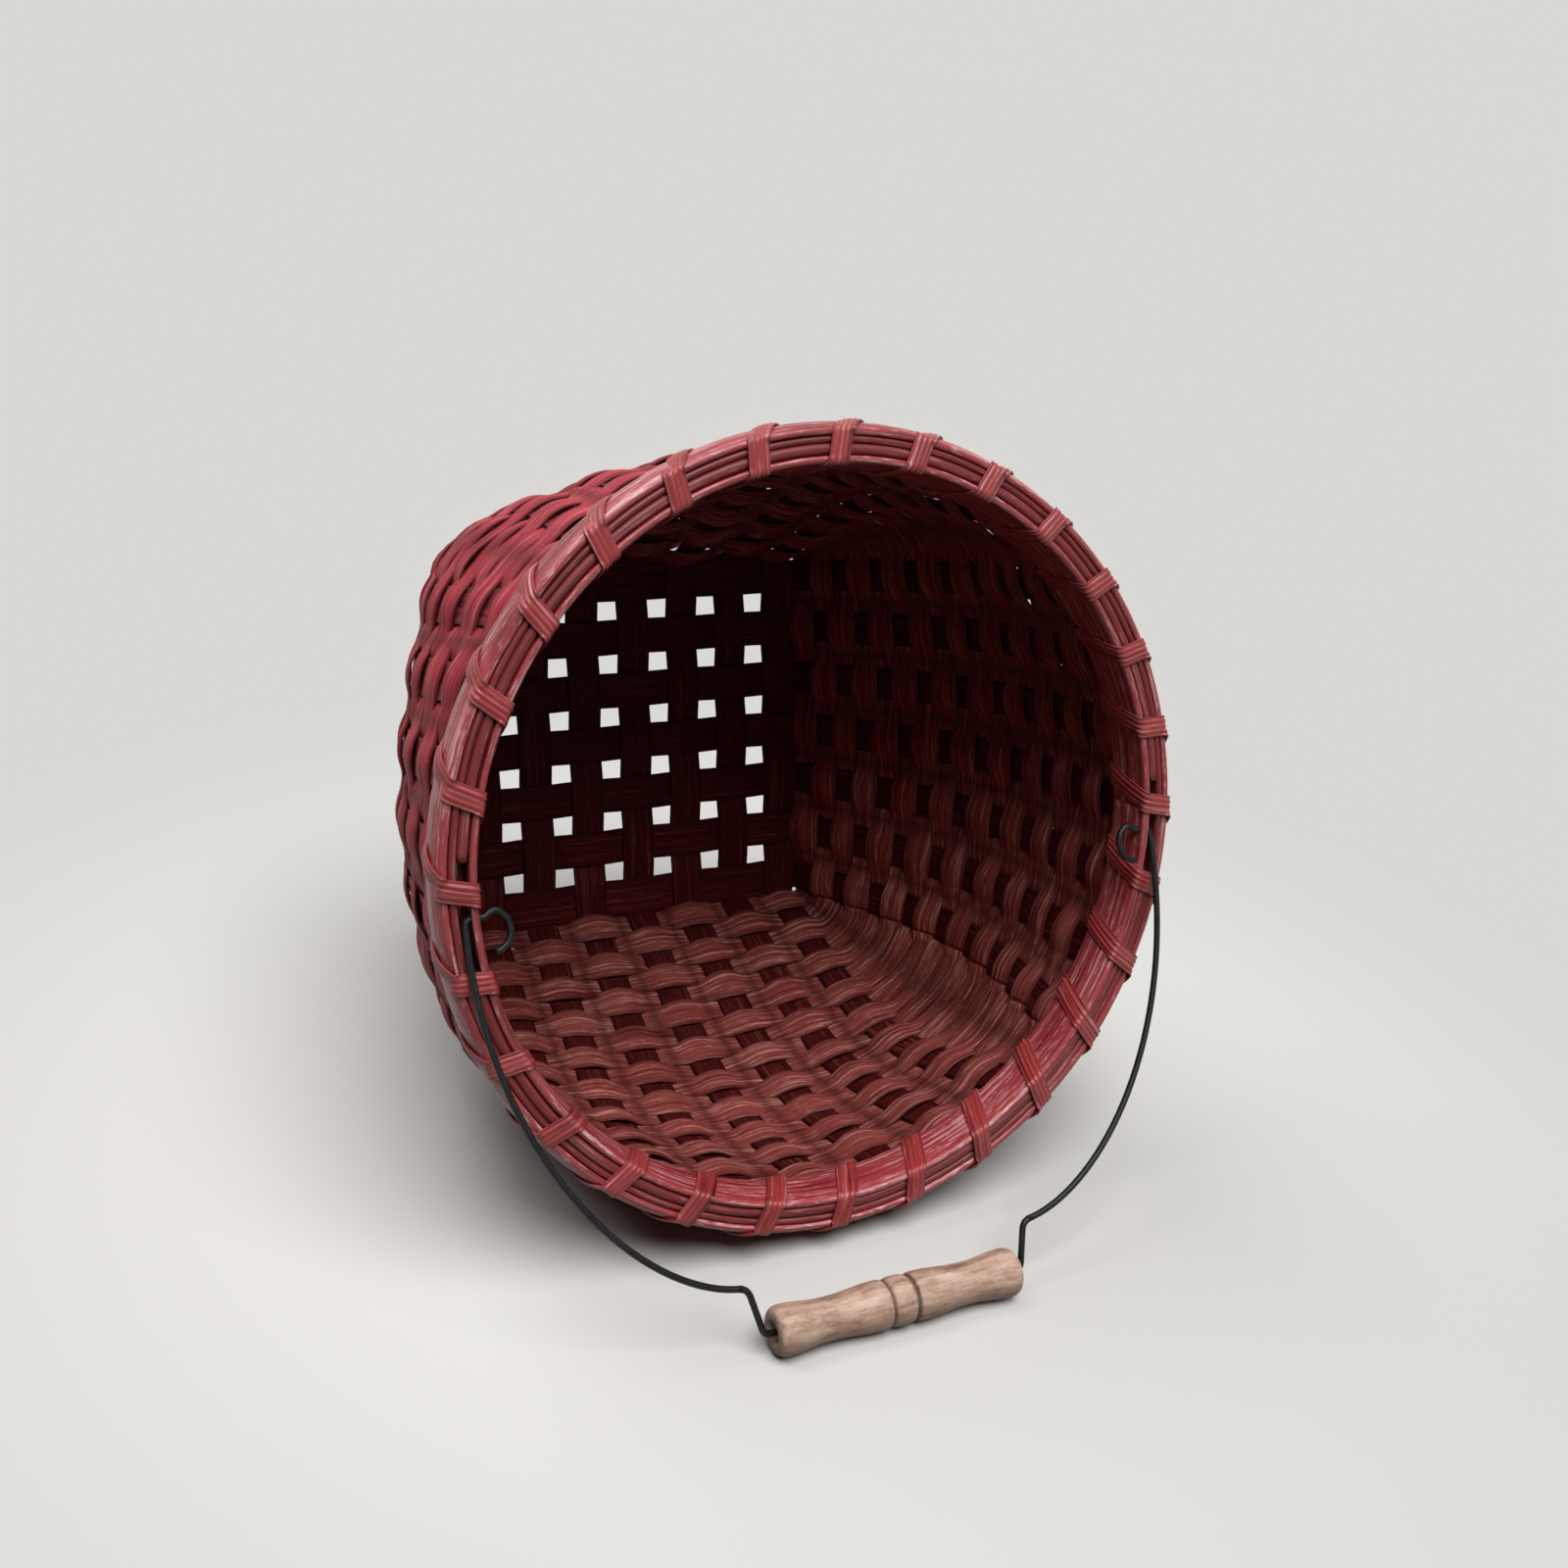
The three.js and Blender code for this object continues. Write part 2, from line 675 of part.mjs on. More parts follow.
const uprightPoints = verticesOf(group);
const balance = centreOfMass(group);
let lying = 0;
let lowest = Infinity;
for (let step = 1000; step <= 4000; step += 1) {
  const tilt = THREE.MathUtils.degToRad(step / 100);
  const above = (p) => p.y * Math.cos(tilt) + p.z * Math.sin(tilt);
  const floor = uprightPoints.reduce((low, p) => Math.min(low, above(p)), Infinity);
  if (above(balance) - floor < lowest) {
    lowest = above(balance) - floor;
    lying = tilt;
  }
}
group.rotation.x = Math.PI / 2 - lying;

const box = new THREE.Box3().setFromPoints(verticesOf(group));
const centre = box.getCenter(new THREE.Vector3());
group.position.set(-centre.x, -centre.y, -box.min.z);

export default group;
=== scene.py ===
import json
import math
import bpy
import numpy as np
from mathutils import Matrix, Vector


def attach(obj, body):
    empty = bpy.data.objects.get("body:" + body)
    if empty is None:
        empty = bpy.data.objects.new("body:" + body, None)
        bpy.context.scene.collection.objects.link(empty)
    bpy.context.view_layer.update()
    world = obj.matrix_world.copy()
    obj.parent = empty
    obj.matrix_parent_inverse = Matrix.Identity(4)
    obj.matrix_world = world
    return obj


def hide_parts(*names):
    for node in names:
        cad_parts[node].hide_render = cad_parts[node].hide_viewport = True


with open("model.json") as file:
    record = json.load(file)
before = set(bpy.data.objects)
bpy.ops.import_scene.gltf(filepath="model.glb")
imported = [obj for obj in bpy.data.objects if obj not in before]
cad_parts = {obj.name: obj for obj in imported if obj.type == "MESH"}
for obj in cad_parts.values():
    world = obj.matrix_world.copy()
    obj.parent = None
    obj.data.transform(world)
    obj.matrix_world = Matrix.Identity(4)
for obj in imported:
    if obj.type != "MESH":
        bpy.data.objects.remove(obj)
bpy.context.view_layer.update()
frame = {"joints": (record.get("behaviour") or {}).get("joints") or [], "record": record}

# The camera stands in front of the mouth, above it and to the left, as in the photograph. Its
# place is given from the upright basket: x to the right, y away from the bail, z from the base
# to the mouth.
base_rest = frame["record"]["mounts"][0]
MOUTHWARD = -np.array(base_rest["axis"], float)
RIGHT = np.array([1.0, 0.0, 0.0])
AWAY = np.cross(MOUTHWARD, RIGHT)
BASE_FACE_MM = 1.275
BASE_CENTRE = np.array(base_rest["pos_m"], float) + MOUTHWARD * BASE_FACE_MM / 1000
CAMERA_PLACE_MM = [-297.7, 143.8, 759.5]
LENS_MM = 40.14
SENSOR_MM = 36.0


def turned(directions):
    """Directions from the upright basket, as it lies here."""
    d = np.asarray(directions, float)
    return d[..., 0:1] * RIGHT + d[..., 1:2] * AWAY + d[..., 2:3] * MOUTHWARD


def laid(points_mm):
    """Points of the upright basket, in millimetres, as it lies here, in metres."""
    return BASE_CENTRE + turned(np.asarray(points_mm, float) / 1000)


camera = bpy.data.objects.new("camera", bpy.data.cameras.new("camera"))
bpy.context.scene.collection.objects.link(camera)
bpy.context.scene.camera = camera
camera.data.sensor_width = SENSOR_MM
camera.data.lens = LENS_MM
camera.data.clip_start = 0.02
camera.data.clip_end = 100.0
look_right = turned([0.895, -0.010, 0.445])
look_up = turned([0.097, 0.980, -0.174])
look_back = turned([-0.435, 0.199, 0.878])
view_axes = Matrix([look_right, look_up, look_back]).transposed()
view_axes = view_axes.to_quaternion().to_matrix().to_4x4()
camera.matrix_world = Matrix.Translation(Vector(laid(CAMERA_PLACE_MM))) @ view_axes


# Stakes: fourteen flat strips of rattan reed, seven each way, woven over and under each other in
# an open base and turned up at its edge to become the uprights of the wall. The red dye is rubbed
# off the ridges of the fibres, and their faces inside the basket are much darker, as painted
# shade.
STAKES_A_SIDE = 7
UPRIGHTS = 4 * STAKES_A_SIDE
MIDDLE_STAKE = 3
STAKE_PITCH = 24.8
STAKE_WIDTH = 14.6
STAKE_THICKNESS = 1.1
STAKE_TOP = 199.0
STAKE_CORNER = 0.5
BASE_HALF = 84.1
BASE_WAVE = 0.66
BASE_EXTRA_WIDTH = {"cross": 1.8, "long": 1.1}
EDGE_STAKE_EXTRA = 2.0
WIDENING = 12.0
BEND_HEIGHT = 2.8
UPRIGHT_WAVE = 0.2

# The wall that they form bows out on its right, top, left and bottom sides, from the square base
# to the round rim, which leans and sags a little.
SIDE_BOWS = (24.0, 20.0, 23.0, 25.5)
BOW_RISE = 0.87
BOW_ROUNDNESS = 1.5
RIM_HEIGHT = 205.8
RIM_MIDDLE = 145.0
RIM_SAG = 6.8
RIM_LEAN = math.radians(1.2)
RIM_FLARE = math.radians(7)
HEAD_INSET = 1.1
UPRIGHT_STEP = 2 * math.pi / UPRIGHTS
SLOPE_REACH = 4.0


def side_turn(u):
    return (u // STAKES_A_SIDE) * math.pi / 2


def wall_foot(u):
    """Where an upright leaves the square base."""
    turn = side_turn(u)
    along = (u % STAKES_A_SIDE - MIDDLE_STAKE) * STAKE_PITCH
    c, s = math.cos(turn), math.sin(turn)
    return np.array([BASE_HALF * c - along * s, BASE_HALF * s + along * c, 0.0])


def upright_azimuth(u):
    return (u - MIDDLE_STAKE) * UPRIGHT_STEP - RIM_LEAN


def wall_head(u):
    """Where an upright ends in the round rim."""
    azimuth = upright_azimuth(u)
    radius = RIM_MIDDLE - HEAD_INSET
    return np.array([radius * math.cos(azimuth), radius * math.sin(azimuth) - RIM_SAG,
                     RIM_HEIGHT])


def wall_point(u, height):
    """A place in the wall, whose sides bow out of the straight way from base to rim."""
    share = min(max(height / RIM_HEIGHT, 0.0), 1.0)
    bow = math.sin(math.pi * share ** BOW_RISE) ** BOW_ROUNDNESS
    outward = np.array([math.cos(side_turn(u)), math.sin(side_turn(u)), 0.0])
    straight = wall_foot(u) * (1 - share) + wall_head(u) * share
    return straight + outward * (SIDE_BOWS[u // STAKES_A_SIDE] * bow)


def wall_frame(u, height):
    """The way along the face, up the wall and out of it, at an upright."""
    turn = side_turn(u) + (upright_azimuth(u) - side_turn(u)) * height / RIM_HEIGHT
    tangent = np.array([-math.sin(turn), math.cos(turn), 0.0])
    middle = min(max(height, SLOPE_REACH), RIM_HEIGHT - SLOPE_REACH)
    rise = wall_point(u, middle + SLOPE_REACH) - wall_point(u, middle - SLOPE_REACH)
    rise -= tangent * rise.dot(tangent)
    rise /= np.linalg.norm(rise)
    return tangent, rise, np.cross(tangent, rise)


def travelled(points):
    """How far each point of a line lies from its start, along the line."""
    steps = np.linalg.norm(np.diff(points, axis=0), axis=1)
    return np.concatenate([[0], np.cumsum(steps)])


# Eighteen rows fill each upright evenly, from the base to the lashing under the rim bands.
ROWS = 18
BASE_TO_FIRST_ROW = 2.2
BAND_DEPTH = 19.2
LASH_UNDER_BANDS = 0.65
ROW_TO_LASH = 0.77
under_lashing = (RIM_HEIGHT - (BAND_DEPTH + LASH_UNDER_BANDS) * math.cos(RIM_FLARE)
                 - ROW_TO_LASH)
wall_heights = np.linspace(0, RIM_HEIGHT, 207)
wall_lengths = []
for u in range(UPRIGHTS):
    wall_lengths.append(travelled(np.array([wall_point(u, height) for height in wall_heights])))
row_pitches = [(np.interp(under_lashing, wall_heights, lengths) - BASE_TO_FIRST_ROW) / ROWS
               for lengths in wall_lengths]


def row_at(u, height):
    """How many rows up the wall a height lies, counted at the middles of the rows."""
    length = np.interp(height, wall_heights, wall_lengths[u])
    return (length - BASE_TO_FIRST_ROW) / row_pitches[u] - 0.5


def unit(v):
    return v / np.linalg.norm(v, axis=-1, keepdims=True)


def new_mesh(name, vertices, faces, grain_uv, materials):
    mesh = bpy.data.meshes.new(name)
    mesh.from_pydata(vertices.tolist(), [], faces)
    loops = np.zeros(len(mesh.loops), np.int32)
    mesh.loops.foreach_get("vertex_index", loops)
    layer = mesh.uv_layers.new(name="grain")
    layer.data.foreach_set("uv", grain_uv[loops].astype(np.float32).ravel())
    mesh.polygons.foreach_set("use_smooth", [True] * len(mesh.polygons))
    for material in materials:
        mesh.materials.append(material)
    piece = bpy.data.objects.new(name, mesh)
    bpy.context.scene.collection.objects.link(piece)
    return piece


# The ridges of fibre wander along a strip, and the grain differs from its upper to its lower face
# and from strip to strip. Past this share of the half width the strip darkens to its edge, partly
# as deeper dye and partly as painted shade.
FIBRE_LENGTH = 14.0
FIBRE_WANDER = 0.6
LOWER_GRAIN = 2.4
GRAIN_STEP = 3.7
EDGE_DARKENING_FROM = 0.62


def reed_strip(name, centres, across, width, thickness, materials, seed, crown=0.0, edge=0.45,
               ridge=0.05, columns=9, lobes=0, lobe_depth=0.0, dome=(0.0, 0.0), crossing_shade=0.0,
               edge_dye_and_shade=0.0):
    """A strip of reed along the centres. Its upper face looks along across x along.

    It has rounded edges and ridges of fibre, and may be crowned, domed or grooved across. Where
    it dives under its neighbours it gets painted shade, and along its edges painted shade and
    deeper dye.
    """
    centres = np.asarray(centres, float)
    count = len(centres)
    along = unit(np.gradient(centres, axis=0))
    normal = unit(np.cross(across, along))
    across = np.cross(along, normal)
    width = np.broadcast_to(width, count)[:, None]
    crown = np.broadcast_to(crown, count)[:, None]

    rounding = edge * thickness
    flat = (width - 2 * rounding) / 2
    corner = np.radians([35.0, 68.0, 90.0])
    out = np.concatenate([-np.sin(corner[::-1]), np.zeros(columns), np.sin(corner)]) * rounding
    place = np.concatenate([-np.ones(3), np.linspace(-1, 1, columns), np.ones(3)])
    rounded = np.concatenate([np.cos(corner[::-1]), np.ones(columns), np.cos(corner)])
    lift = thickness / 2 - rounding + rounding * rounded
    sideways = flat * place + out
    share = sideways / (width / 2)

    rng = np.random.default_rng(seed)
    length = travelled(centres)
    knots = max(int(length[-1] / FIBRE_LENGTH), 2)
    size = place.size
    fibres = []
    for _ in range(2):
        fixed = rng.normal(0, ridge, size)
        moving = rng.normal(0, ridge * FIBRE_WANDER, (knots, size))
        at = np.linspace(0, length[-1], knots)
        wander = np.stack([np.interp(length, at, moving[:, k]) for k in range(size)], axis=1)
        taper = np.clip((1 - np.abs(share)) * 6, 0, 1)
        fibres.append((fixed + wander) * taper)

    arch = crown * (1 - share ** 2)
    groove = (np.cos(math.pi * lobes * (share + 1)) - 1) / 2 * (np.abs(share) < 0.97)
    top = arch + lift + fibres[0] + lobe_depth * groove + dome[0] * (1 - share ** 2)
    bottom = arch - lift - fibres[1] - dome[1] * (1 - share ** 2)
    heights = np.concatenate([top, bottom[:, ::-1]], axis=1)
    offsets = np.concatenate([sideways, sideways[:, ::-1]], axis=1)
    points = (centres[:, None, :] + offsets[..., None] * across[:, None, :]
              + heights[..., None] * normal[:, None, :])

    ring = 2 * size
    index = np.arange(count * ring).reshape(count, ring)
    here, there = index[:-1], index[1:]
    faces = np.stack([here, np.roll(here, -1, 1), np.roll(there, -1, 1), there], axis=-1)
    faces = faces.reshape(-1, 4).tolist()
    for row, flip in ((index[0], False), (index[-1], True)):
        for j in range(size - 1):
            cap = [row[j], row[ring - 1 - j], row[ring - 2 - j], row[j + 1]]
            faces.append([int(v) for v in (cap[::-1] if flip else cap)])

    around = np.concatenate([share, share[:, ::-1] + LOWER_GRAIN], axis=1) * width.mean() / 2
    uv = np.stack([np.broadcast_to(length[:, None], around.shape), around], axis=-1)
    uv = uv.reshape(-1, 2) / 1000
    uv[:, 0] += GRAIN_STEP * (seed % 97)
    placed = laid(points.reshape(-1, 3))
    placed[:, 2] = np.maximum(placed[:, 2], 0.0)
    piece = new_mesh(name, placed, faces, uv, materials)

    # Painted shade, kept as a point attribute: the strip is darkened where it dives under its
    # neighbours, and along its edges, where the darkening is partly deeper dye.
    from_middle = np.abs(np.concatenate([share, share[:, ::-1]], axis=1))
    at_edge = np.clip((from_middle - EDGE_DARKENING_FROM) / (1 - EDGE_DARKENING_FROM), 0, 1) ** 1.5
    shade_amount = 1 - (1 - edge_dye_and_shade * at_edge) * (1 - np.broadcast_to(crossing_shade, count)[:, None])
    layer = piece.data.attributes.new("painted_shade", "FLOAT", "POINT")
    layer.data.foreach_set("value", shade_amount.astype(np.float32).ravel())
    if len(materials) > 1:
        lower = np.tile(np.arange(ring) >= size, count - 1).astype(np.int32)
        lower = np.concatenate([lower, np.zeros(len(faces) - len(lower), np.int32)])
        piece.data.polygons.foreach_set("material_index", lower)
    return piece


def node(tree, kind, inputs=None, **settings):
    made = tree.nodes.new(kind)
    for key, value in settings.items():
        setattr(made, key, value)
    for key, value in (inputs or {}).items():
        if isinstance(value, bpy.types.NodeSocket):
            tree.links.new(value, made.inputs[key])
        else:
            made.inputs[key].default_value = value
    return made


def noise(tree, place, scales, detail, rough):
    """Noise of a scale of its own each way."""
    scaled = node(tree, "ShaderNodeMapping", {"Vector": place, "Scale": scales})
    return node(tree, "ShaderNodeTexNoise", {
        "Vector": scaled.outputs["Vector"], "Scale": 1.0, "Detail": detail, "Roughness": rough,
    }).outputs["Fac"]


def mixed(tree, share, a, b):
    return node(tree, "ShaderNodeMix", {"Factor": share, "A": a, "B": b}).outputs["Result"]


def mixed_colour(tree, share, a, b):
    return node(tree, "ShaderNodeMix", {"Factor": share, "A": a, "B": b},
                data_type="RGBA").outputs["Result"]


def colour_ramp(tree, source, stops):
    made = node(tree, "ShaderNodeValToRGB", {"Fac": source})
    while len(made.color_ramp.elements) < len(stops):
        made.color_ramp.elements.new(0.5)
    for element, (position, colour) in zip(made.color_ramp.elements, stops):
        element.position = position
        element.color = (*colour, 1.0)
    return made.outputs["Color"]


def new_material(name):
    material = bpy.data.materials.new(name)
    material.use_nodes = True
    tree = material.node_tree
    return material, tree, tree.nodes["Principled BSDF"]


def stained_reed(name, deep, body, worn_and_highlight, roughness, bump=0.5, wear=0.6, short=1.0, gloss=0.3):
    """Dyed flat reed: fibres along the strip, darker dye between them, and rubbed ridges paler,
    partly as painted highlight; a point attribute mixes in painted shade.
    """
    material, tree, shader = new_material(name)
    grain = node(tree, "ShaderNodeUVMap", uv_map="grain").outputs["UV"]
    fibre = noise(tree, grain, (26.0 * short, 1700.0, 1.0), 3.0, 0.6)
    streak = noise(tree, grain, (12.0 * short, 640.0, 1.0), 3.0, 0.55)
    fleck = noise(tree, grain, (110.0 * short, 1250.0, 1.0), 3.0, 0.65)
    cloud = noise(tree, grain, (30.0, 80.0, 1.0), 3.0, 0.5)
    lines = mixed(tree, 0.6, fibre, streak)
    taken_up = mixed(tree, 0.2, lines, cloud)
    dye = colour_ramp(tree, taken_up, [(0.38, deep), (0.475, body), (0.545, body), (0.64, worn_and_highlight)])
    # The rubbed ridges take the pale colour; in the rim and inner weaver reeds this pale colour is
    # also a painted highlight.
    rubbed = mixed(tree, 0.5, fleck, streak)
    bare_and_highlight = colour_ramp(tree, rubbed, [(wear - 0.05, (0.0, 0.0, 0.0)),
                                      (wear + 0.05, (1.0, 1.0, 1.0))])
    stained = mixed_colour(tree, bare_and_highlight, dye, (*worn_and_highlight, 1.0))
    # Painted shade: the point attribute mixes the colour toward a dark copy of the deep dye where
    # the strip dives under its neighbours and along its edges.
    painted_shade = node(tree, "ShaderNodeAttribute", attribute_name="painted_shade").outputs["Fac"]
    painted_shade_colour = tuple(0.45 * part for part in deep)
    coat_and_shade = mixed_colour(tree, painted_shade, stained, (*painted_shade_colour, 1.0))
    tree.links.new(coat_and_shade, shader.inputs["Base Color"])
    rough = node(tree, "ShaderNodeMapRange", {"Value": fleck, "From Min": 0.3, "From Max": 0.7,
                                              "To Min": roughness + 0.14,
                                              "To Max": roughness - 0.1})
    tree.links.new(rough.outputs["Result"], shader.inputs["Roughness"])
    relief = node(tree, "ShaderNodeBump", {"Strength": bump, "Distance": 0.0005,
                                           "Height": mixed(tree, 0.35, taken_up, fleck)})
    tree.links.new(relief.outputs["Normal"], shader.inputs["Normal"])
    shader.inputs["Specular IOR Level"].default_value = gloss
    return material


stake_outside = stained_reed("stake_reed_outside", deep=(0.070, 0.006, 0.009),
                             body=(0.240, 0.022, 0.034), worn_and_highlight=(0.420, 0.100, 0.110),
                             roughness=0.5)
# Painted shade: the inner faces of the stakes are much darker than the outer ones, so that the
# inside of the basket reads dark.
stake_inside_shaded = stained_reed("stake_reed_inside_shaded", deep=(0.022, 0.002, 0.002),
                            body=(0.072, 0.007, 0.007), worn_and_highlight=(0.200, 0.047, 0.040),
                            roughness=0.55, gloss=0.08)


def base_lift(reach, over_first):
    """How far a strip lies above or below the middle of the base, as it crosses the others."""
    crossing = np.cos(math.pi * (MIDDLE_STAKE - reach / STAKE_PITCH))
    wave = np.tanh(2 * crossing) / math.tanh(2)
    return (BASE_WAVE if over_first else -BASE_WAVE) * wave


def wall_run(u, heights):
    """The middle of an upright at some heights, and the way across its face."""
    points, ways = [], []
    for height in heights:
        tangent, _, normal = wall_frame(u, height)
        wave = UPRIGHT_WAVE * math.cos(math.pi * row_at(u, height)) * (-1 if u % 2 == 0 else 1)
        points.append(wall_point(u, height) + normal * wave)
        ways.append(tangent)
    return points, ways


def stake(name, first, last, over_first, base_width, seed):
    """A strip down the wall at one upright, across the base and up at the one opposite."""
    climbing = np.linspace(BEND_HEIGHT, STAKE_TOP, 70)
    outermost = MIDDLE_STAKE * STAKE_PITCH
    edge_reach = outermost + STAKE_WIDTH / 2 + STAKE_CORNER
    outward = unit(np.array([math.cos(side_turn(first)), math.sin(side_turn(first)), 0.0]))
    flat_way = np.array([-outward[1], outward[0], 0.0])
    down_points, down_ways = wall_run(first, climbing[::-1])
    up_points, up_ways = wall_run(last, climbing)
    down_ways = [-way for way in down_ways]

    reaches = np.linspace(edge_reach, -edge_reach, 72)
    lifts = base_lift(np.clip(reaches, -outermost, outermost), over_first)
    middle = wall_foot(first) - outward * BASE_HALF
    spread = np.clip((edge_reach - np.abs(reaches)) / WIDENING, 0, 1)
    extra, to_edge = 0.0, np.zeros(3)
    if first % STAKES_A_SIDE in (0, STAKES_A_SIDE - 1):
        extra, to_edge = EDGE_STAKE_EXTRA, unit(middle) * EDGE_STAKE_EXTRA / 2
    flat_points = [middle + outward * reach + to_edge * share + np.array([0, 0, lift])
                   for reach, lift, share in zip(reaches, lifts, spread)]
    flat_widths = STAKE_WIDTH + (base_width - STAKE_WIDTH + extra) * spread

    bends = []
    for u, wall_end, flat_end, lift in ((first, down_points[-1], flat_points[0], lifts[0]),
                                        (last, up_points[0], flat_points[-1], lifts[-1])):
        knee = wall_point(u, lift)
        bends.append([wall_end * (1 - t) ** 2 + knee * 2 * t * (1 - t) + flat_end * t ** 2
                      for t in np.linspace(0, 1, 8)[1:-1]])
    across_base = bends[0] + flat_points + bends[1][::-1]
    points = down_points + across_base + up_points
    ways = down_ways + [-flat_way] * len(across_base) + up_ways
    widths = np.full(len(points), STAKE_WIDTH)
    start = len(down_points) + len(bends[0])
    widths[start:start + len(flat_points)] = flat_widths
    # The stake's edges get painted shade, partly deeper dye.
    return reed_strip(name, points, np.array(ways), widths, STAKE_THICKNESS,
                      [stake_outside, stake_inside_shaded], seed, edge=0.4, ridge=0.05, columns=13,
                      edge_dye_and_shade=0.6)


for i in range(STAKES_A_SIDE):
    runs = {
        "cross": (STAKES_A_SIDE - 1 - i, 2 * STAKES_A_SIDE + i, i % 2 == 1, 11 + i),
        "long": (2 * STAKES_A_SIDE - 1 - i, 3 * STAKES_A_SIDE + i, i % 2 == 0, 31 + i),
    }
    for way, (first, last, over_first, seed) in runs.items():
        base_width = STAKE_WIDTH + BASE_EXTRA_WIDTH[way]
        strip = stake(f"{way}_stake_{i + 1}", first, last, over_first, base_width, seed)
        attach(strip, "basket")
        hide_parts(f"stake_{way}_{i + 1}")


# Weavers: eighteen rows of narrower flat reed, each passing inside one upright and outside the
# next, so that every float bows over the stake it crosses. The next row does the opposite. One
# more row is clamped between the rim bands.
WEAVER_THICKNESS = 1.0
WEAVER_TO_STAKE = 0.03
FLOAT_EDGE = (STAKE_THICKNESS + WEAVER_THICKNESS) / 2 + WEAVER_TO_STAKE - UPRIGHT_WAVE
FLOAT_BOW = {-1.0: 1.35, 1.0: 1.25}
FLOAT_CROWN = {-1.0: 0.75, 1.0: 0.6}
FLOAT_SPREAD = 2.6
CROSSING_LAP = 1.0
# Painted shade where a weaver dives under its neighbours at a crossing, strongest at the crossing
# itself.
CROSSING_SHADE = 0.7
FIRST_ROW_EXTRA = 1.8
CLAMPED_ROW_HEIGHT = 193.2
CLAMPED_LOOSENESS = 0.25
UNEVEN_HEIGHT = 0.25
UNEVEN_BOW = 0.12
UNEVEN_TILT = 0.06
UNEVEN_WIDTH = 0.18
weaver_outside = stained_reed("weaver_reed_outside", deep=(0.130, 0.009, 0.014),
                              body=(0.510, 0.050, 0.070), worn_and_highlight=(0.800, 0.260, 0.270),
                              roughness=0.5, bump=0.7, gloss=0.15)
# The inner weaver reed's pale rubbed colour is made paler to stand in for its glints: partly
# rubbed reed, partly painted highlight.
weaver_inside = stained_reed("weaver_reed_inside", deep=(0.085, 0.011, 0.010),
                             body=(0.300, 0.061, 0.051), worn_and_highlight=(0.660, 0.310, 0.265),
                             roughness=0.42, bump=0.9, wear=0.575, gloss=0.15)


def row_place(u, row, shift):
    """The height of a row at an upright."""
    if row == ROWS:
        return CLAMPED_ROW_HEIGHT
    length = BASE_TO_FIRST_ROW + (row + 0.5) * row_pitches[u] + shift
    if row == 0:
        length -= FIRST_ROW_EXTRA / 2
    return float(np.interp(length, wall_lengths[u], wall_heights))


def weaver(name, row, seed):
    """A closed ring: a float on each upright, and a smooth crossing to the next one."""
    rng = np.random.default_rng(seed + 500)
    shifts = rng.normal(0, UNEVEN_HEIGHT, UPRIGHTS)
    loose = 1 + rng.normal(0, UNEVEN_BOW, UPRIGHTS)
    tilts = rng.normal(0, UNEVEN_TILT, UPRIGHTS)
    swells = 1 + rng.normal(0, UNEVEN_WIDTH, UPRIGHTS)
    first_row_extra = FIRST_ROW_EXTRA if row == 0 else 0.0
    lap, spread = CROSSING_LAP, FLOAT_SPREAD
    if row == ROWS:
        loose, lap, spread = loose * CLAMPED_LOOSENESS, 0.0, 0.0
    half = STAKE_WIDTH / 2
    on_stake = np.linspace(-1, 1, 9)
    floats = []
    for u in range(UPRIGHTS):
        side = -1.0 if (u + row) % 2 == 1 else 1.0
        height = row_place(u, row, shifts[u])
        tangent, rise, normal = wall_frame(u, height)
        centre = wall_point(u, height)
        bow = FLOAT_BOW[side] * loose[u]
        run = [centre + tangent * half * x + normal * side * (FLOAT_EDGE + bow * (1 - x ** 2))
               for x in on_stake]
        slope = normal * side * 2 * bow / half
        way = -(rise + normal * tilts[u] * side)
        floats.append((run, tangent + slope, tangent - slope, way, side))
    points, ways, crowns, widths, crossing_shades = [], [], [], [], []

    def add_station(point, way, side, swell, narrow, from_crossing):
        points.append(point)
        ways.append(way)
        crowns.append(FLOAT_CROWN[side] * side * from_crossing)
        widths.append(narrow + spread * swell * from_crossing ** 1.2)
        crossing_shades.append(CROSSING_SHADE * (1 - from_crossing) ** 3)

    for u in range(UPRIGHTS):
        following = (u + 1) % UPRIGHTS
        run, _, leaving, way, side = floats[u]
        next_run, arriving, _, next_way, next_side = floats[following]
        start, end = run[-1], next_run[0]
        gap = np.linalg.norm(end - start)
        reach = 1 + gap / (2 * half)
        narrow = (row_pitches[u] + row_pitches[following]) / 2 + lap + first_row_extra
        for x, point in zip(on_stake, run):
            from_crossing = math.sin(math.pi / 2 * (1 - abs(x) / reach))
            add_station(point, way, side, swells[u], narrow, from_crossing)
        for t in np.linspace(0, 1, 10)[1:-1]:
            at_start = 2 * t ** 3 - 3 * t ** 2 + 1
            from_start = t ** 3 - 2 * t ** 2 + t
            at_end = 3 * t ** 2 - 2 * t ** 3
            to_end = t ** 3 - t ** 2
            point = (at_start * start + from_start * gap * leaving
                     + at_end * end + to_end * gap * arriving)
            from_crossing = math.sin(math.pi / 2 * abs(1 - 2 * t) * (1 - 1 / reach))
            nearer, nearer_side = (u, side) if t < 0.5 else (following, next_side)
            add_station(point, way * (1 - t) + next_way * t, nearer_side, swells[nearer], narrow,
                        from_crossing)
    for values in (points, ways, crowns, widths, crossing_shades):
        values.append(values[0])
    # The weaver's edges and crossings get painted shade.
    return reed_strip(name, points, np.array(ways), np.array(widths), WEAVER_THICKNESS,
                      [weaver_outside, weaver_inside], seed, crown=np.array(crowns), edge=0.42,
                      ridge=0.11, columns=17, crossing_shade=np.array(crossing_shades), edge_dye_and_shade=0.7)


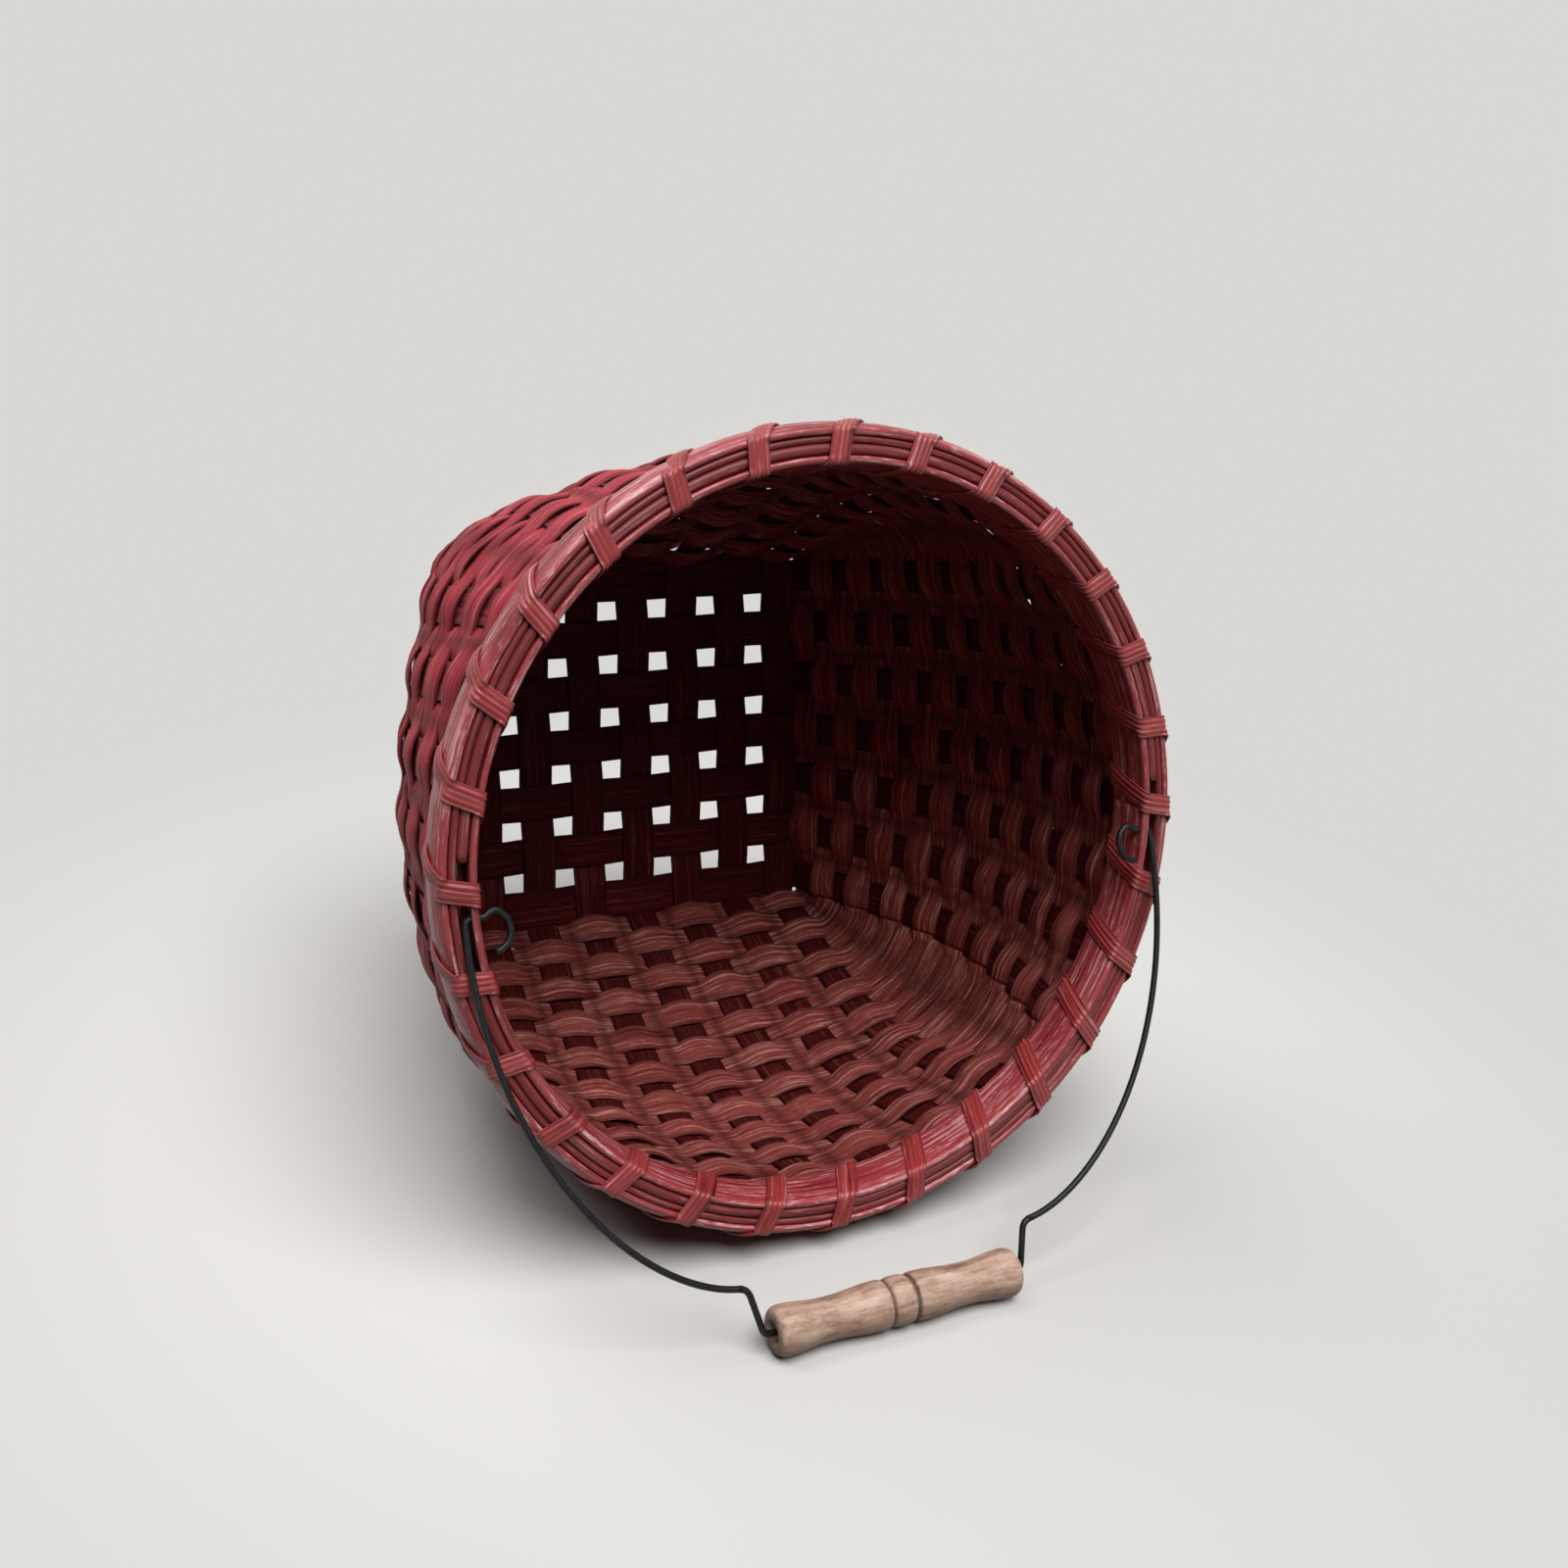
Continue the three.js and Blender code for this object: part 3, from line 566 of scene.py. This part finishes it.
for row in range(ROWS + 1):
    clamped = row == ROWS
    strip = weaver("clamped_row" if clamped else f"woven_row_{row + 1:02d}", row, 101 + row)
    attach(strip, "basket")
    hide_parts("rim_row" if clamped else f"weaver_{row + 1:02d}")


# Rim: two broad bands of half-round reed that clamp the wall between them, with filler strands
# laid in the groove on top. The inner strand stops short of each ear of the bail, so it is in two
# lengths.
BAND_THICKNESS = 2.6
OUTER_DOME = 3.0
INNER_DOME = 0.9
RIM_GAP = 7.2
INNER_FILLER_WIDTH = 3.9
OUTER_FILLER_WIDTH = 2.4
FILLER_DEPTH = 6.0
FILLER_INSET = 0.3
FILLER_GAP = 0.3
PRESSED = 0.3
STRAND_STEP = 3.2
UNEVEN_STRAND = 0.10
EAR_DROP = 10.1
EAR_DEPTH = 2.3
EAR_GAP = 20.0
# The rim reed's pale rubbed streaks are partly painted highlight, standing in for the glossy
# pink-white streaks along its bands.
rim_reed = stained_reed("rim_reed", deep=(0.095, 0.007, 0.010), body=(0.470, 0.055, 0.064),
                        worn_and_highlight=(0.900, 0.480, 0.490), roughness=0.30, bump=1.0, wear=0.57,
                        short=1.3, gloss=0.55)
filler_reed = stained_reed("filler_reed", deep=(0.060, 0.006, 0.007), body=(0.250, 0.030, 0.034),
                           worn_and_highlight=(0.560, 0.180, 0.165), roughness=0.4, bump=0.8, gloss=0.45)


def rim_point(azimuth, out, up):
    """A place in the rim's section, out from the middle of its gap and up from its top."""
    radius = RIM_MIDDLE + out * math.cos(RIM_FLARE) + up * math.sin(RIM_FLARE)
    height = RIM_HEIGHT - out * math.sin(RIM_FLARE) + up * math.cos(RIM_FLARE)
    return np.array([radius * math.cos(azimuth), radius * math.sin(azimuth) - RIM_SAG, height])


def rim_strand(name, out, width, top, depth, material, seed, first=0.0, last=2 * math.pi,
               **shape):
    """A strip on edge in the rim, from the first azimuth to the last."""
    count = max(int((last - first) * RIM_MIDDLE / STRAND_STEP), 8)
    azimuths = np.linspace(first, last, count + 1)
    rng = np.random.default_rng(seed + 900)
    knots = np.linspace(first, last, 40)
    wander = np.interp(azimuths, knots, rng.normal(0, UNEVEN_STRAND, len(knots)))
    full_ring = last - first > 6.2
    if full_ring:
        wander *= np.clip(np.minimum(azimuths - first, last - azimuths) * 8, 0, 1)
    points = [rim_point(azimuth, out, top - depth / 2 + shift)
              for azimuth, shift in zip(azimuths, wander)]
    ways = [rim_point(azimuth, 0, -1) - rim_point(azimuth, 0, 0) for azimuth in azimuths]
    return reed_strip(name, points, np.array(ways), depth, width, [material], seed, **shape)


band_out = (RIM_GAP + BAND_THICKNESS) / 2
inner_filler_out = -RIM_GAP / 2 + FILLER_GAP + INNER_FILLER_WIDTH / 2
outer_filler_out = RIM_GAP / 2 - FILLER_GAP - OUTER_FILLER_WIDTH / 2
wire_seat = RIM_MIDDLE + inner_filler_out - EAR_DEPTH * math.sin(RIM_FLARE)
ear = math.asin(EAR_DROP / wire_seat)
clear = EAR_GAP / wire_seat
band_shape = {"edge": 0.42, "ridge": 0.05, "columns": 25}
inner_shape = {"edge": 0.42, "ridge": 0.06}
inner_filler = (inner_filler_out, INNER_FILLER_WIDTH + PRESSED, -FILLER_INSET, FILLER_DEPTH,
                filler_reed)
rim_pieces = {
    "rim_band_inner": rim_strand("inner_band", -band_out, BAND_THICKNESS, 0, BAND_DEPTH,
                                 rim_reed, 301, dome=(0.0, INNER_DOME), **band_shape),
    "rim_band_outer": rim_strand("outer_band", band_out, BAND_THICKNESS, 0, BAND_DEPTH,
                                 rim_reed, 302, dome=(OUTER_DOME, 0.0), **band_shape),
    "rim_filler_outer": rim_strand("outer_filler", outer_filler_out,
                                   OUTER_FILLER_WIDTH + PRESSED, -FILLER_INSET, FILLER_DEPTH,
                                   filler_reed, 303, edge=0.45, ridge=0.06),
    "rim_filler_upper": rim_strand("upper_filler", *inner_filler, 304, -ear + clear,
                                   math.pi + ear - clear, **inner_shape),
    "rim_filler_lower": rim_strand("lower_filler", *inner_filler, 305, math.pi + ear + clear,
                                   2 * math.pi - ear - clear, **inner_shape),
}
for solid, strand in rim_pieces.items():
    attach(strand, "basket")
    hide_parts(solid)


# Lashing: one grooved strip of reed wound round both bands, once for every upright. It slants
# down the inner band, passes between two uprights under the bands and comes up over the outer one.
LASH_WIDTH = 8.2
LASH_THICKNESS = 0.8
LASH_LEAD = math.radians(4.1)
LASH_SLANT = math.radians(1.2)
LASH_STAND = 0.5
LASH_UNDER = 0.15
LASH_BEND = 2.2
lash_reed = stained_reed("lash_reed", deep=(0.110, 0.009, 0.011), body=(0.460, 0.052, 0.054),
                         worn_and_highlight=(0.800, 0.300, 0.285), roughness=0.32, bump=0.7, wear=0.61,
                         gloss=0.55)


def lash_path():
    """The middle of the strip, as azimuth, out and up in the rim, and the way its face looks."""
    out = RIM_GAP / 2 + BAND_THICKNESS + LASH_STAND
    above = LASH_STAND
    below = -BAND_DEPTH - LASH_STAND - LASH_UNDER
    corners = []
    for turn in range(UPRIGHTS - 1, -1, -1):
        head = turn * UPRIGHT_STEP + LASH_SLANT / 2
        shoulder = head - LASH_SLANT
        following = head + LASH_LEAD - UPRIGHT_STEP
        corners += [(head + LASH_LEAD, -out, below, (-1, 0)), (head, -out, above, (0, 1)),
                    (shoulder, out, above, (1, 0)), (following + LASH_SLANT, out, below, (0, -1))]
    stations = []
    for k, (azimuth, x, y, leaving) in enumerate(corners):
        before = np.array(corners[k - 1][:3])
        arriving = corners[k - 1][3]
        after = np.array(corners[(k + 1) % len(corners)][:3])
        here = np.array([azimuth, x, y])
        if before[0] - here[0] < -math.pi:
            before[0] += 2 * math.pi
        if after[0] - here[0] > math.pi:
            after[0] -= 2 * math.pi
        reach = [LASH_BEND / max(np.linalg.norm((next_one - here)[1:]), 1e-6)
                 for next_one in (before, after)]
        start = here + (before - here) * reach[0]
        end = here + (after - here) * reach[1]
        for t in np.linspace(0, 1, 6):
            bent = start * (1 - t) ** 2 + here * 2 * t * (1 - t) + end * t ** 2
            facing = np.array(arriving) * (1 - t) + np.array(leaving) * t
            stations.append((bent, facing))
        far = after + (here - after) * LASH_BEND / max(np.linalg.norm((after - here)[1:]), 1e-6)
        for t in np.linspace(0, 1, 10)[1:-1]:
            dome = OUTER_DOME if leaving[0] > 0 else INNER_DOME
            over_dome = abs(leaving[0]) * dome * (1 - (2 * t - 1) ** 2)
            spot = end * (1 - t) + far * t
            spot += np.array([0.0, leaving[0] * over_dome, 0.0])
            stations.append((spot, np.array(leaving, float)))
    stations.append(stations[0])
    return stations


lash_points, lash_faces = [], []
for (azimuth, x, y), (facing_out, facing_up) in lash_path():
    here = rim_point(azimuth, x, y)
    lash_points.append(here)
    lash_faces.append(rim_point(azimuth, x + facing_out, y + facing_up) - here)
lash_points[-1] = lash_points[0]
lash_along = np.gradient(np.array(lash_points), axis=0)
# The lashing's edges get painted shade, partly deeper dye.
lash = reed_strip("rim_lash", lash_points, np.cross(lash_along, np.array(lash_faces)), LASH_WIDTH,
                  LASH_THICKNESS, [lash_reed], 401, edge=0.42, ridge=0.03, columns=25, lobes=4,
                  lobe_depth=0.32, dome=(0.5, 0.0), edge_dye_and_shade=0.4)
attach(lash, "basket")
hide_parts("rim_lashing")


# Bail: one length of black annealed wire, cranked in the middle for the grip, whose ends go
# through the inner band and curl into open eyes so that they can't pull out.
WIRE_RADIUS = 1.25
WIRE_SIDES = 14
BAIL_REACH = 159.5
SHOULDER_REACH = 142.0
ARM_FOOT = 6 * WIRE_RADIUS
ARM_STEPS = 36
ARM_FULLNESS = 1.176
GRIP_LENGTH = 102.0
GRIP_END_PLAY = 0.7
CROOK_INSET = 4.0
CROOK_BEND = 5.0
EYE_RADIUS = 7.4
EYE_OPENING = (170, 20)
EYE_EASE = 0.3
EYE_CORNER = 3.0
swing, spin = frame["joints"]
hinge = np.array(swing["pos_m"], float)
grip_centre = np.array(spin["pos_m"], float)
bail_down = unit(grip_centre - hinge)
bail_face = np.cross(RIGHT, bail_down)


def on_bail(points_mm):
    """Points of the bail's own plane, from its hinge line down to the grip, as it hangs here."""
    p = np.asarray(points_mm, float) / 1000
    return hinge + p[..., 0:1] * RIGHT + p[..., 1:2] * bail_down + p[..., 2:3] * bail_face


def eased_corner(before, corner, after, radius, steps):
    """The wire's way round a corner, bent to about the radius."""
    coming, going = unit(corner - before), unit(after - corner)
    turn = math.acos(np.clip(coming.dot(going), -1, 1))
    setback = radius * math.tan(turn / 2)
    start, end = corner - coming * setback, corner + going * setback
    return [start * (1 - t) ** 2 + corner * 2 * t * (1 - t) + end * t ** 2
            for t in np.linspace(0, 1, steps + 1)]


def half_wire():
    """The right half of the wire, from its open eye to the middle of the grip."""
    arm_x = math.sqrt(wire_seat ** 2 - EAR_DROP ** 2)
    grip_end = GRIP_LENGTH / 2 + 2 * WIRE_RADIUS + GRIP_END_PLAY
    crook_x = grip_end + CROOK_INSET
    band_inside = arm_x - INNER_FILLER_WIDTH / 2 - BAND_THICKNESS
    through = np.array([band_inside - 2 * WIRE_RADIUS, 0.0])
    eye = np.array([through[0] - WIRE_RADIUS, EYE_RADIUS - 2 * WIRE_RADIUS])
    points = []
    for angle in np.radians(np.linspace(*EYE_OPENING, 20)):
        points.append(eye - EYE_RADIUS * np.array([math.sin(angle), math.cos(angle)]))
    corner = np.array([arm_x, 0.0])
    arm_foot = np.array([arm_x, ARM_FOOT])
    points += [through * 0.5 + points[-1] * 0.5 + np.array([EYE_EASE, -EYE_EASE]), through]
    points += eased_corner(through, corner, arm_foot, EYE_CORNER, 8)
    for angle in np.arange(0, ARM_STEPS) * math.pi / (2 * ARM_STEPS):
        points.append(np.array([
            crook_x + (arm_x - crook_x) * math.cos(angle) ** ARM_FULLNESS,
            arm_foot[1] + (SHOULDER_REACH - arm_foot[1]) * math.sin(angle),
        ]))
    crook = np.array([crook_x, SHOULDER_REACH])
    grip_corner = np.array([grip_end, BAIL_REACH])
    points += eased_corner(points[-1], crook, grip_corner, CROOK_BEND, 10)
    points += eased_corner(crook, grip_corner, np.array([0.0, BAIL_REACH]), EYE_CORNER, 8)
    return points


def wire_mesh(name, path, material):
    path = np.array(path)
    along = unit(np.gradient(path, axis=0))
    in_plane = np.stack([-along[:, 1], along[:, 0]], axis=1)
    angles = np.arange(WIRE_SIDES) * 2 * math.pi / WIRE_SIDES
    flat = np.cos(angles)[None, :, None] * in_plane[:, None, :] * WIRE_RADIUS + path[:, None, :]
    proud = np.broadcast_to(np.sin(angles)[None, :, None] * WIRE_RADIUS,
                            (len(path), WIRE_SIDES, 1))
    points = np.concatenate([flat, proud], axis=-1)
    index = np.arange(len(path) * WIRE_SIDES).reshape(len(path), WIRE_SIDES)
    here, there = index[:-1], index[1:]
    faces = np.stack([here, there, np.roll(there, -1, 1), np.roll(here, -1, 1)], axis=-1)
    faces = faces.reshape(-1, 4).tolist()
    faces.append([int(v) for v in index[0]])
    faces.append([int(v) for v in index[-1][::-1]])
    uv = np.stack(np.broadcast_arrays(travelled(path)[:, None] / 1000,
                                      angles[None, :] * WIRE_RADIUS / 1000), axis=-1)
    return new_mesh(name, on_bail(points.reshape(-1, 3)), faces, uv.reshape(-1, 2), [material])


black_wire, tree, shader = new_material("black_wire")
place = node(tree, "ShaderNodeTexCoord").outputs["Object"]
scale_marks = node(tree, "ShaderNodeTexNoise", {"Vector": place, "Scale": 420.0,
                                                "Detail": 4.0}).outputs["Fac"]
finish = colour_ramp(tree, scale_marks, [(0.35, (0.003, 0.003, 0.004)),
                                         (0.7, (0.014, 0.014, 0.016))])
tree.links.new(finish, shader.inputs["Base Color"])
dull = node(tree, "ShaderNodeMapRange", {"Value": scale_marks, "To Min": 0.30, "To Max": 0.50})
tree.links.new(dull.outputs["Result"], shader.inputs["Roughness"])
shader.inputs["Metallic"].default_value = 0.1
shader.inputs["Specular IOR Level"].default_value = 0.3
right_half = half_wire()
left_half = [np.array([-p[0], p[1]]) for p in right_half[::-1]]
wire = wire_mesh("bail", right_half + left_half, black_wire)
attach(wire, "bail")
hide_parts("bail_wire")


# Grip: a turned hardwood handle, bored through for the wire, with a bead between two grooves in
# the middle, a waist on each side and rounded ends. It is bare wood, mottled by handling,
# darker in its grooves, and with painted shade on its ends.
GRIP_RADIUS = 9.2
WAIST_RADIUS = 7.8
BEAD_HALF = 5.0
GROOVE_DEPTH = 1.2
BORE_RADIUS = 1.65
GRIP_SIDES = 72
half_length = GRIP_LENGTH / 2
waist_end = half_length - GRIP_RADIUS
turned_half = [
    (0.0, GRIP_RADIUS),
    (BEAD_HALF * 0.45, GRIP_RADIUS - 0.1),
    (BEAD_HALF * 0.75, GRIP_RADIUS - 0.5),
    (BEAD_HALF - 0.55, GRIP_RADIUS - 1.15),
    (BEAD_HALF - 0.15, GRIP_RADIUS - 0.5 - GROOVE_DEPTH),
    (BEAD_HALF + 0.35, GRIP_RADIUS - 0.4 - GROOVE_DEPTH),
    (BEAD_HALF + 0.7, GRIP_RADIUS - 0.75),
    (BEAD_HALF + 1.2, GRIP_RADIUS - 0.3),
    (BEAD_HALF + 2.2, GRIP_RADIUS - 0.1),
]
for share, sunk in ((0.2, 0.12), (0.35, 0.5), (0.5, 0.88), (0.65, 1.0), (0.78, 0.88),
                    (0.92, 0.45), (1.02, 0.12)):
    turned_half.append((BEAD_HALF + (waist_end - BEAD_HALF) * share,
                        GRIP_RADIUS - (GRIP_RADIUS - WAIST_RADIUS) * sunk))
turned_half += [
    (half_length - 5.0, GRIP_RADIUS),
    (half_length - 2.6, GRIP_RADIUS - 0.15),
    (half_length - 1.2, GRIP_RADIUS - 0.75),
    (half_length - 0.35, GRIP_RADIUS - 1.8),
    (half_length, GRIP_RADIUS - 3.2),
    (half_length - 0.1, 4.6),
    (half_length - 1.4, 3.9),
    (half_length - 3.5, 3.4),
    (half_length - 3.8, BORE_RADIUS),
]
profile = np.array([(-x, r) for x, r in turned_half[:0:-1]] + turned_half)
angles = np.arange(GRIP_SIDES) * 2 * math.pi / GRIP_SIDES
ring_points = np.stack([
    np.broadcast_to(profile[:, 0:1], (len(profile), GRIP_SIDES)),
    profile[:, 1:2] * np.cos(angles)[None, :],
    profile[:, 1:2] * np.sin(angles)[None, :],
], axis=-1)
index = np.arange(len(profile) * GRIP_SIDES).reshape(len(profile), GRIP_SIDES)
here, there = index, np.roll(index, -1, 0)
grip_faces = np.stack([here, there, np.roll(there, -1, 1), np.roll(here, -1, 1)], axis=-1)
grip_faces = grip_faces.reshape(-1, 4)[:, ::-1]
grip_uv = np.stack(np.broadcast_arrays(profile[:, 0:1] / 1000,
                                       angles[None, :] * GRIP_RADIUS / 1000), axis=-1)


def worked_out(tree, operation, *values):
    return node(tree, "ShaderNodeMath", dict(enumerate(values)),
                operation=operation).outputs["Value"]


turned_wood, tree, shader = new_material("turned_wood")
place = node(tree, "ShaderNodeTexCoord").outputs["Object"]
pores = noise(tree, place, (60.0, 420.0, 420.0), 6.0, 0.62)
mottle = noise(tree, place, (60.0, 110.0, 110.0), 5.0, 0.7)
wood = colour_ramp(tree, mixed(tree, 0.5, pores, mottle),
                   [(0.36, (0.250, 0.135, 0.095)), (0.45, (0.480, 0.290, 0.210)),
                    (0.54, (0.680, 0.450, 0.340)), (0.64, (0.830, 0.640, 0.510))])
along_grip = node(tree, "ShaderNodeSeparateXYZ", {"Vector": place}).outputs["X"]
from_middle = worked_out(tree, "ABSOLUTE", along_grip)
past_groove = worked_out(tree, "SUBTRACT", from_middle, (BEAD_HALF + 0.1) / 1000)
from_groove = worked_out(tree, "ABSOLUTE", past_groove)
# Darker in the grooves beside the bead.
groove_darkening = node(tree, "ShaderNodeMapRange", {
    "Value": from_groove, "From Min": 0.0004, "From Max": 0.0011, "To Min": 0.8, "To Max": 0.0,
}).outputs["Result"]
# Painted shade on the ends of the grip.
end_shade = node(tree, "ShaderNodeMapRange", {
    "Value": from_middle, "From Min": (half_length - 0.9) / 1000, "From Max": half_length / 1000,
    "To Min": 0.0, "To Max": 0.45,
}).outputs["Result"]
groove_and_end_darkening = worked_out(tree, "MAXIMUM", groove_darkening, end_shade)
darkened_wood = mixed_colour(tree, groove_and_end_darkening, wood, (0.060, 0.028, 0.018, 1.0))
tree.links.new(darkened_wood, shader.inputs["Base Color"])
shader.inputs["Roughness"].default_value = 0.5
wood_relief = node(tree, "ShaderNodeBump", {"Strength": 0.35, "Distance": 0.0002,
                                            "Height": pores})
tree.links.new(wood_relief.outputs["Normal"], shader.inputs["Normal"])
grip_points = grip_centre + ring_points.reshape(-1, 3) / 1000
grip = new_mesh("grip", grip_points, grip_faces.tolist(), grip_uv.reshape(-1, 2), [turned_wood])
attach(grip, "grip")
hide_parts("bail_grip")


# Studio: a pale seamless floor under one broad soft light, high up and a little in front, so that
# it falls through the mouth on the lower wall only. A weaker one from behind on the left lights
# the top of the wall.
FLOOR_SIZE = 400.0
PALE = (0.825, 0.810, 0.778)
FAR_PALE = (0.660, 0.651, 0.627)
SHADED = (0.016, 0.016, 0.015)
SKY_COLOUR = (1.0, 0.987, 0.950)
SKY_SHOWN = 0.696
SKY_LIGHT = 0.006


def shown_rays(tree):
    """One for what the camera sees, straight or in a glossy or clear surface."""
    rays = node(tree, "ShaderNodeLightPath").outputs
    shown = worked_out(tree, "MAXIMUM", rays["Is Camera Ray"], rays["Is Glossy Ray"])
    return worked_out(tree, "MAXIMUM", shown, rays["Is Transmission Ray"])


floor_mesh = bpy.data.meshes.new("floor")
far = FLOOR_SIZE / 2
floor_mesh.from_pydata([(-far, -far, 0), (far, -far, 0), (far, far, 0), (-far, far, 0)], [],
                       [(0, 1, 2, 3)])
floor = bpy.data.objects.new("floor", floor_mesh)
bpy.context.scene.collection.objects.link(floor)
pale, tree, shader = new_material("pale_floor")
place = node(tree, "ShaderNodeTexCoord").outputs["Object"]
distance = node(tree, "ShaderNodeVectorMath", {0: place}, operation="LENGTH").outputs["Value"]
# Painted light: the floor is palest near the basket and dims away from it, a painted pool of
# light.
painted_light_falloff = node(tree, "ShaderNodeMapRange",
              {"Value": distance, "From Min": 0.05, "From Max": 0.50},
              interpolation_type="SMOOTHSTEP").outputs["Result"]
seen_pale = mixed_colour(tree, painted_light_falloff, (*PALE, 1.0), (*FAR_PALE, 1.0))
floor_colour = mixed_colour(tree, shown_rays(tree), (*SHADED, 1.0), seen_pale)
tree.links.new(floor_colour, shader.inputs["Base Color"])
shader.inputs["Roughness"].default_value = 0.95
shader.inputs["Specular IOR Level"].default_value = 0.0
floor_mesh.materials.append(pale)

world = bpy.data.worlds.new("studio")
bpy.context.scene.world = world
world.use_nodes = True
tree = world.node_tree
sky = tree.nodes["Background"]
tree.links.new(mixed(tree, shown_rays(tree), SKY_LIGHT, SKY_SHOWN), sky.inputs["Strength"])
sky.inputs["Color"].default_value = (*SKY_COLOUR, 1.0)


def soft_light(name, toward, angle, strength):
    lamp = bpy.data.objects.new(name, bpy.data.lights.new(name, "SUN"))
    bpy.context.scene.collection.objects.link(lamp)
    lamp.data.angle = math.radians(angle)
    lamp.data.energy = strength
    lamp.rotation_euler = Vector(toward).to_track_quat("Z", "Y").to_euler()


soft_light("overhead", (0.04, -0.42, 1.0), 44.0, 2.62)
soft_light("back_fill", (-0.40, 0.50, 1.0), 40.0, 1.05)

bpy.context.scene.view_settings.view_transform = "Standard"
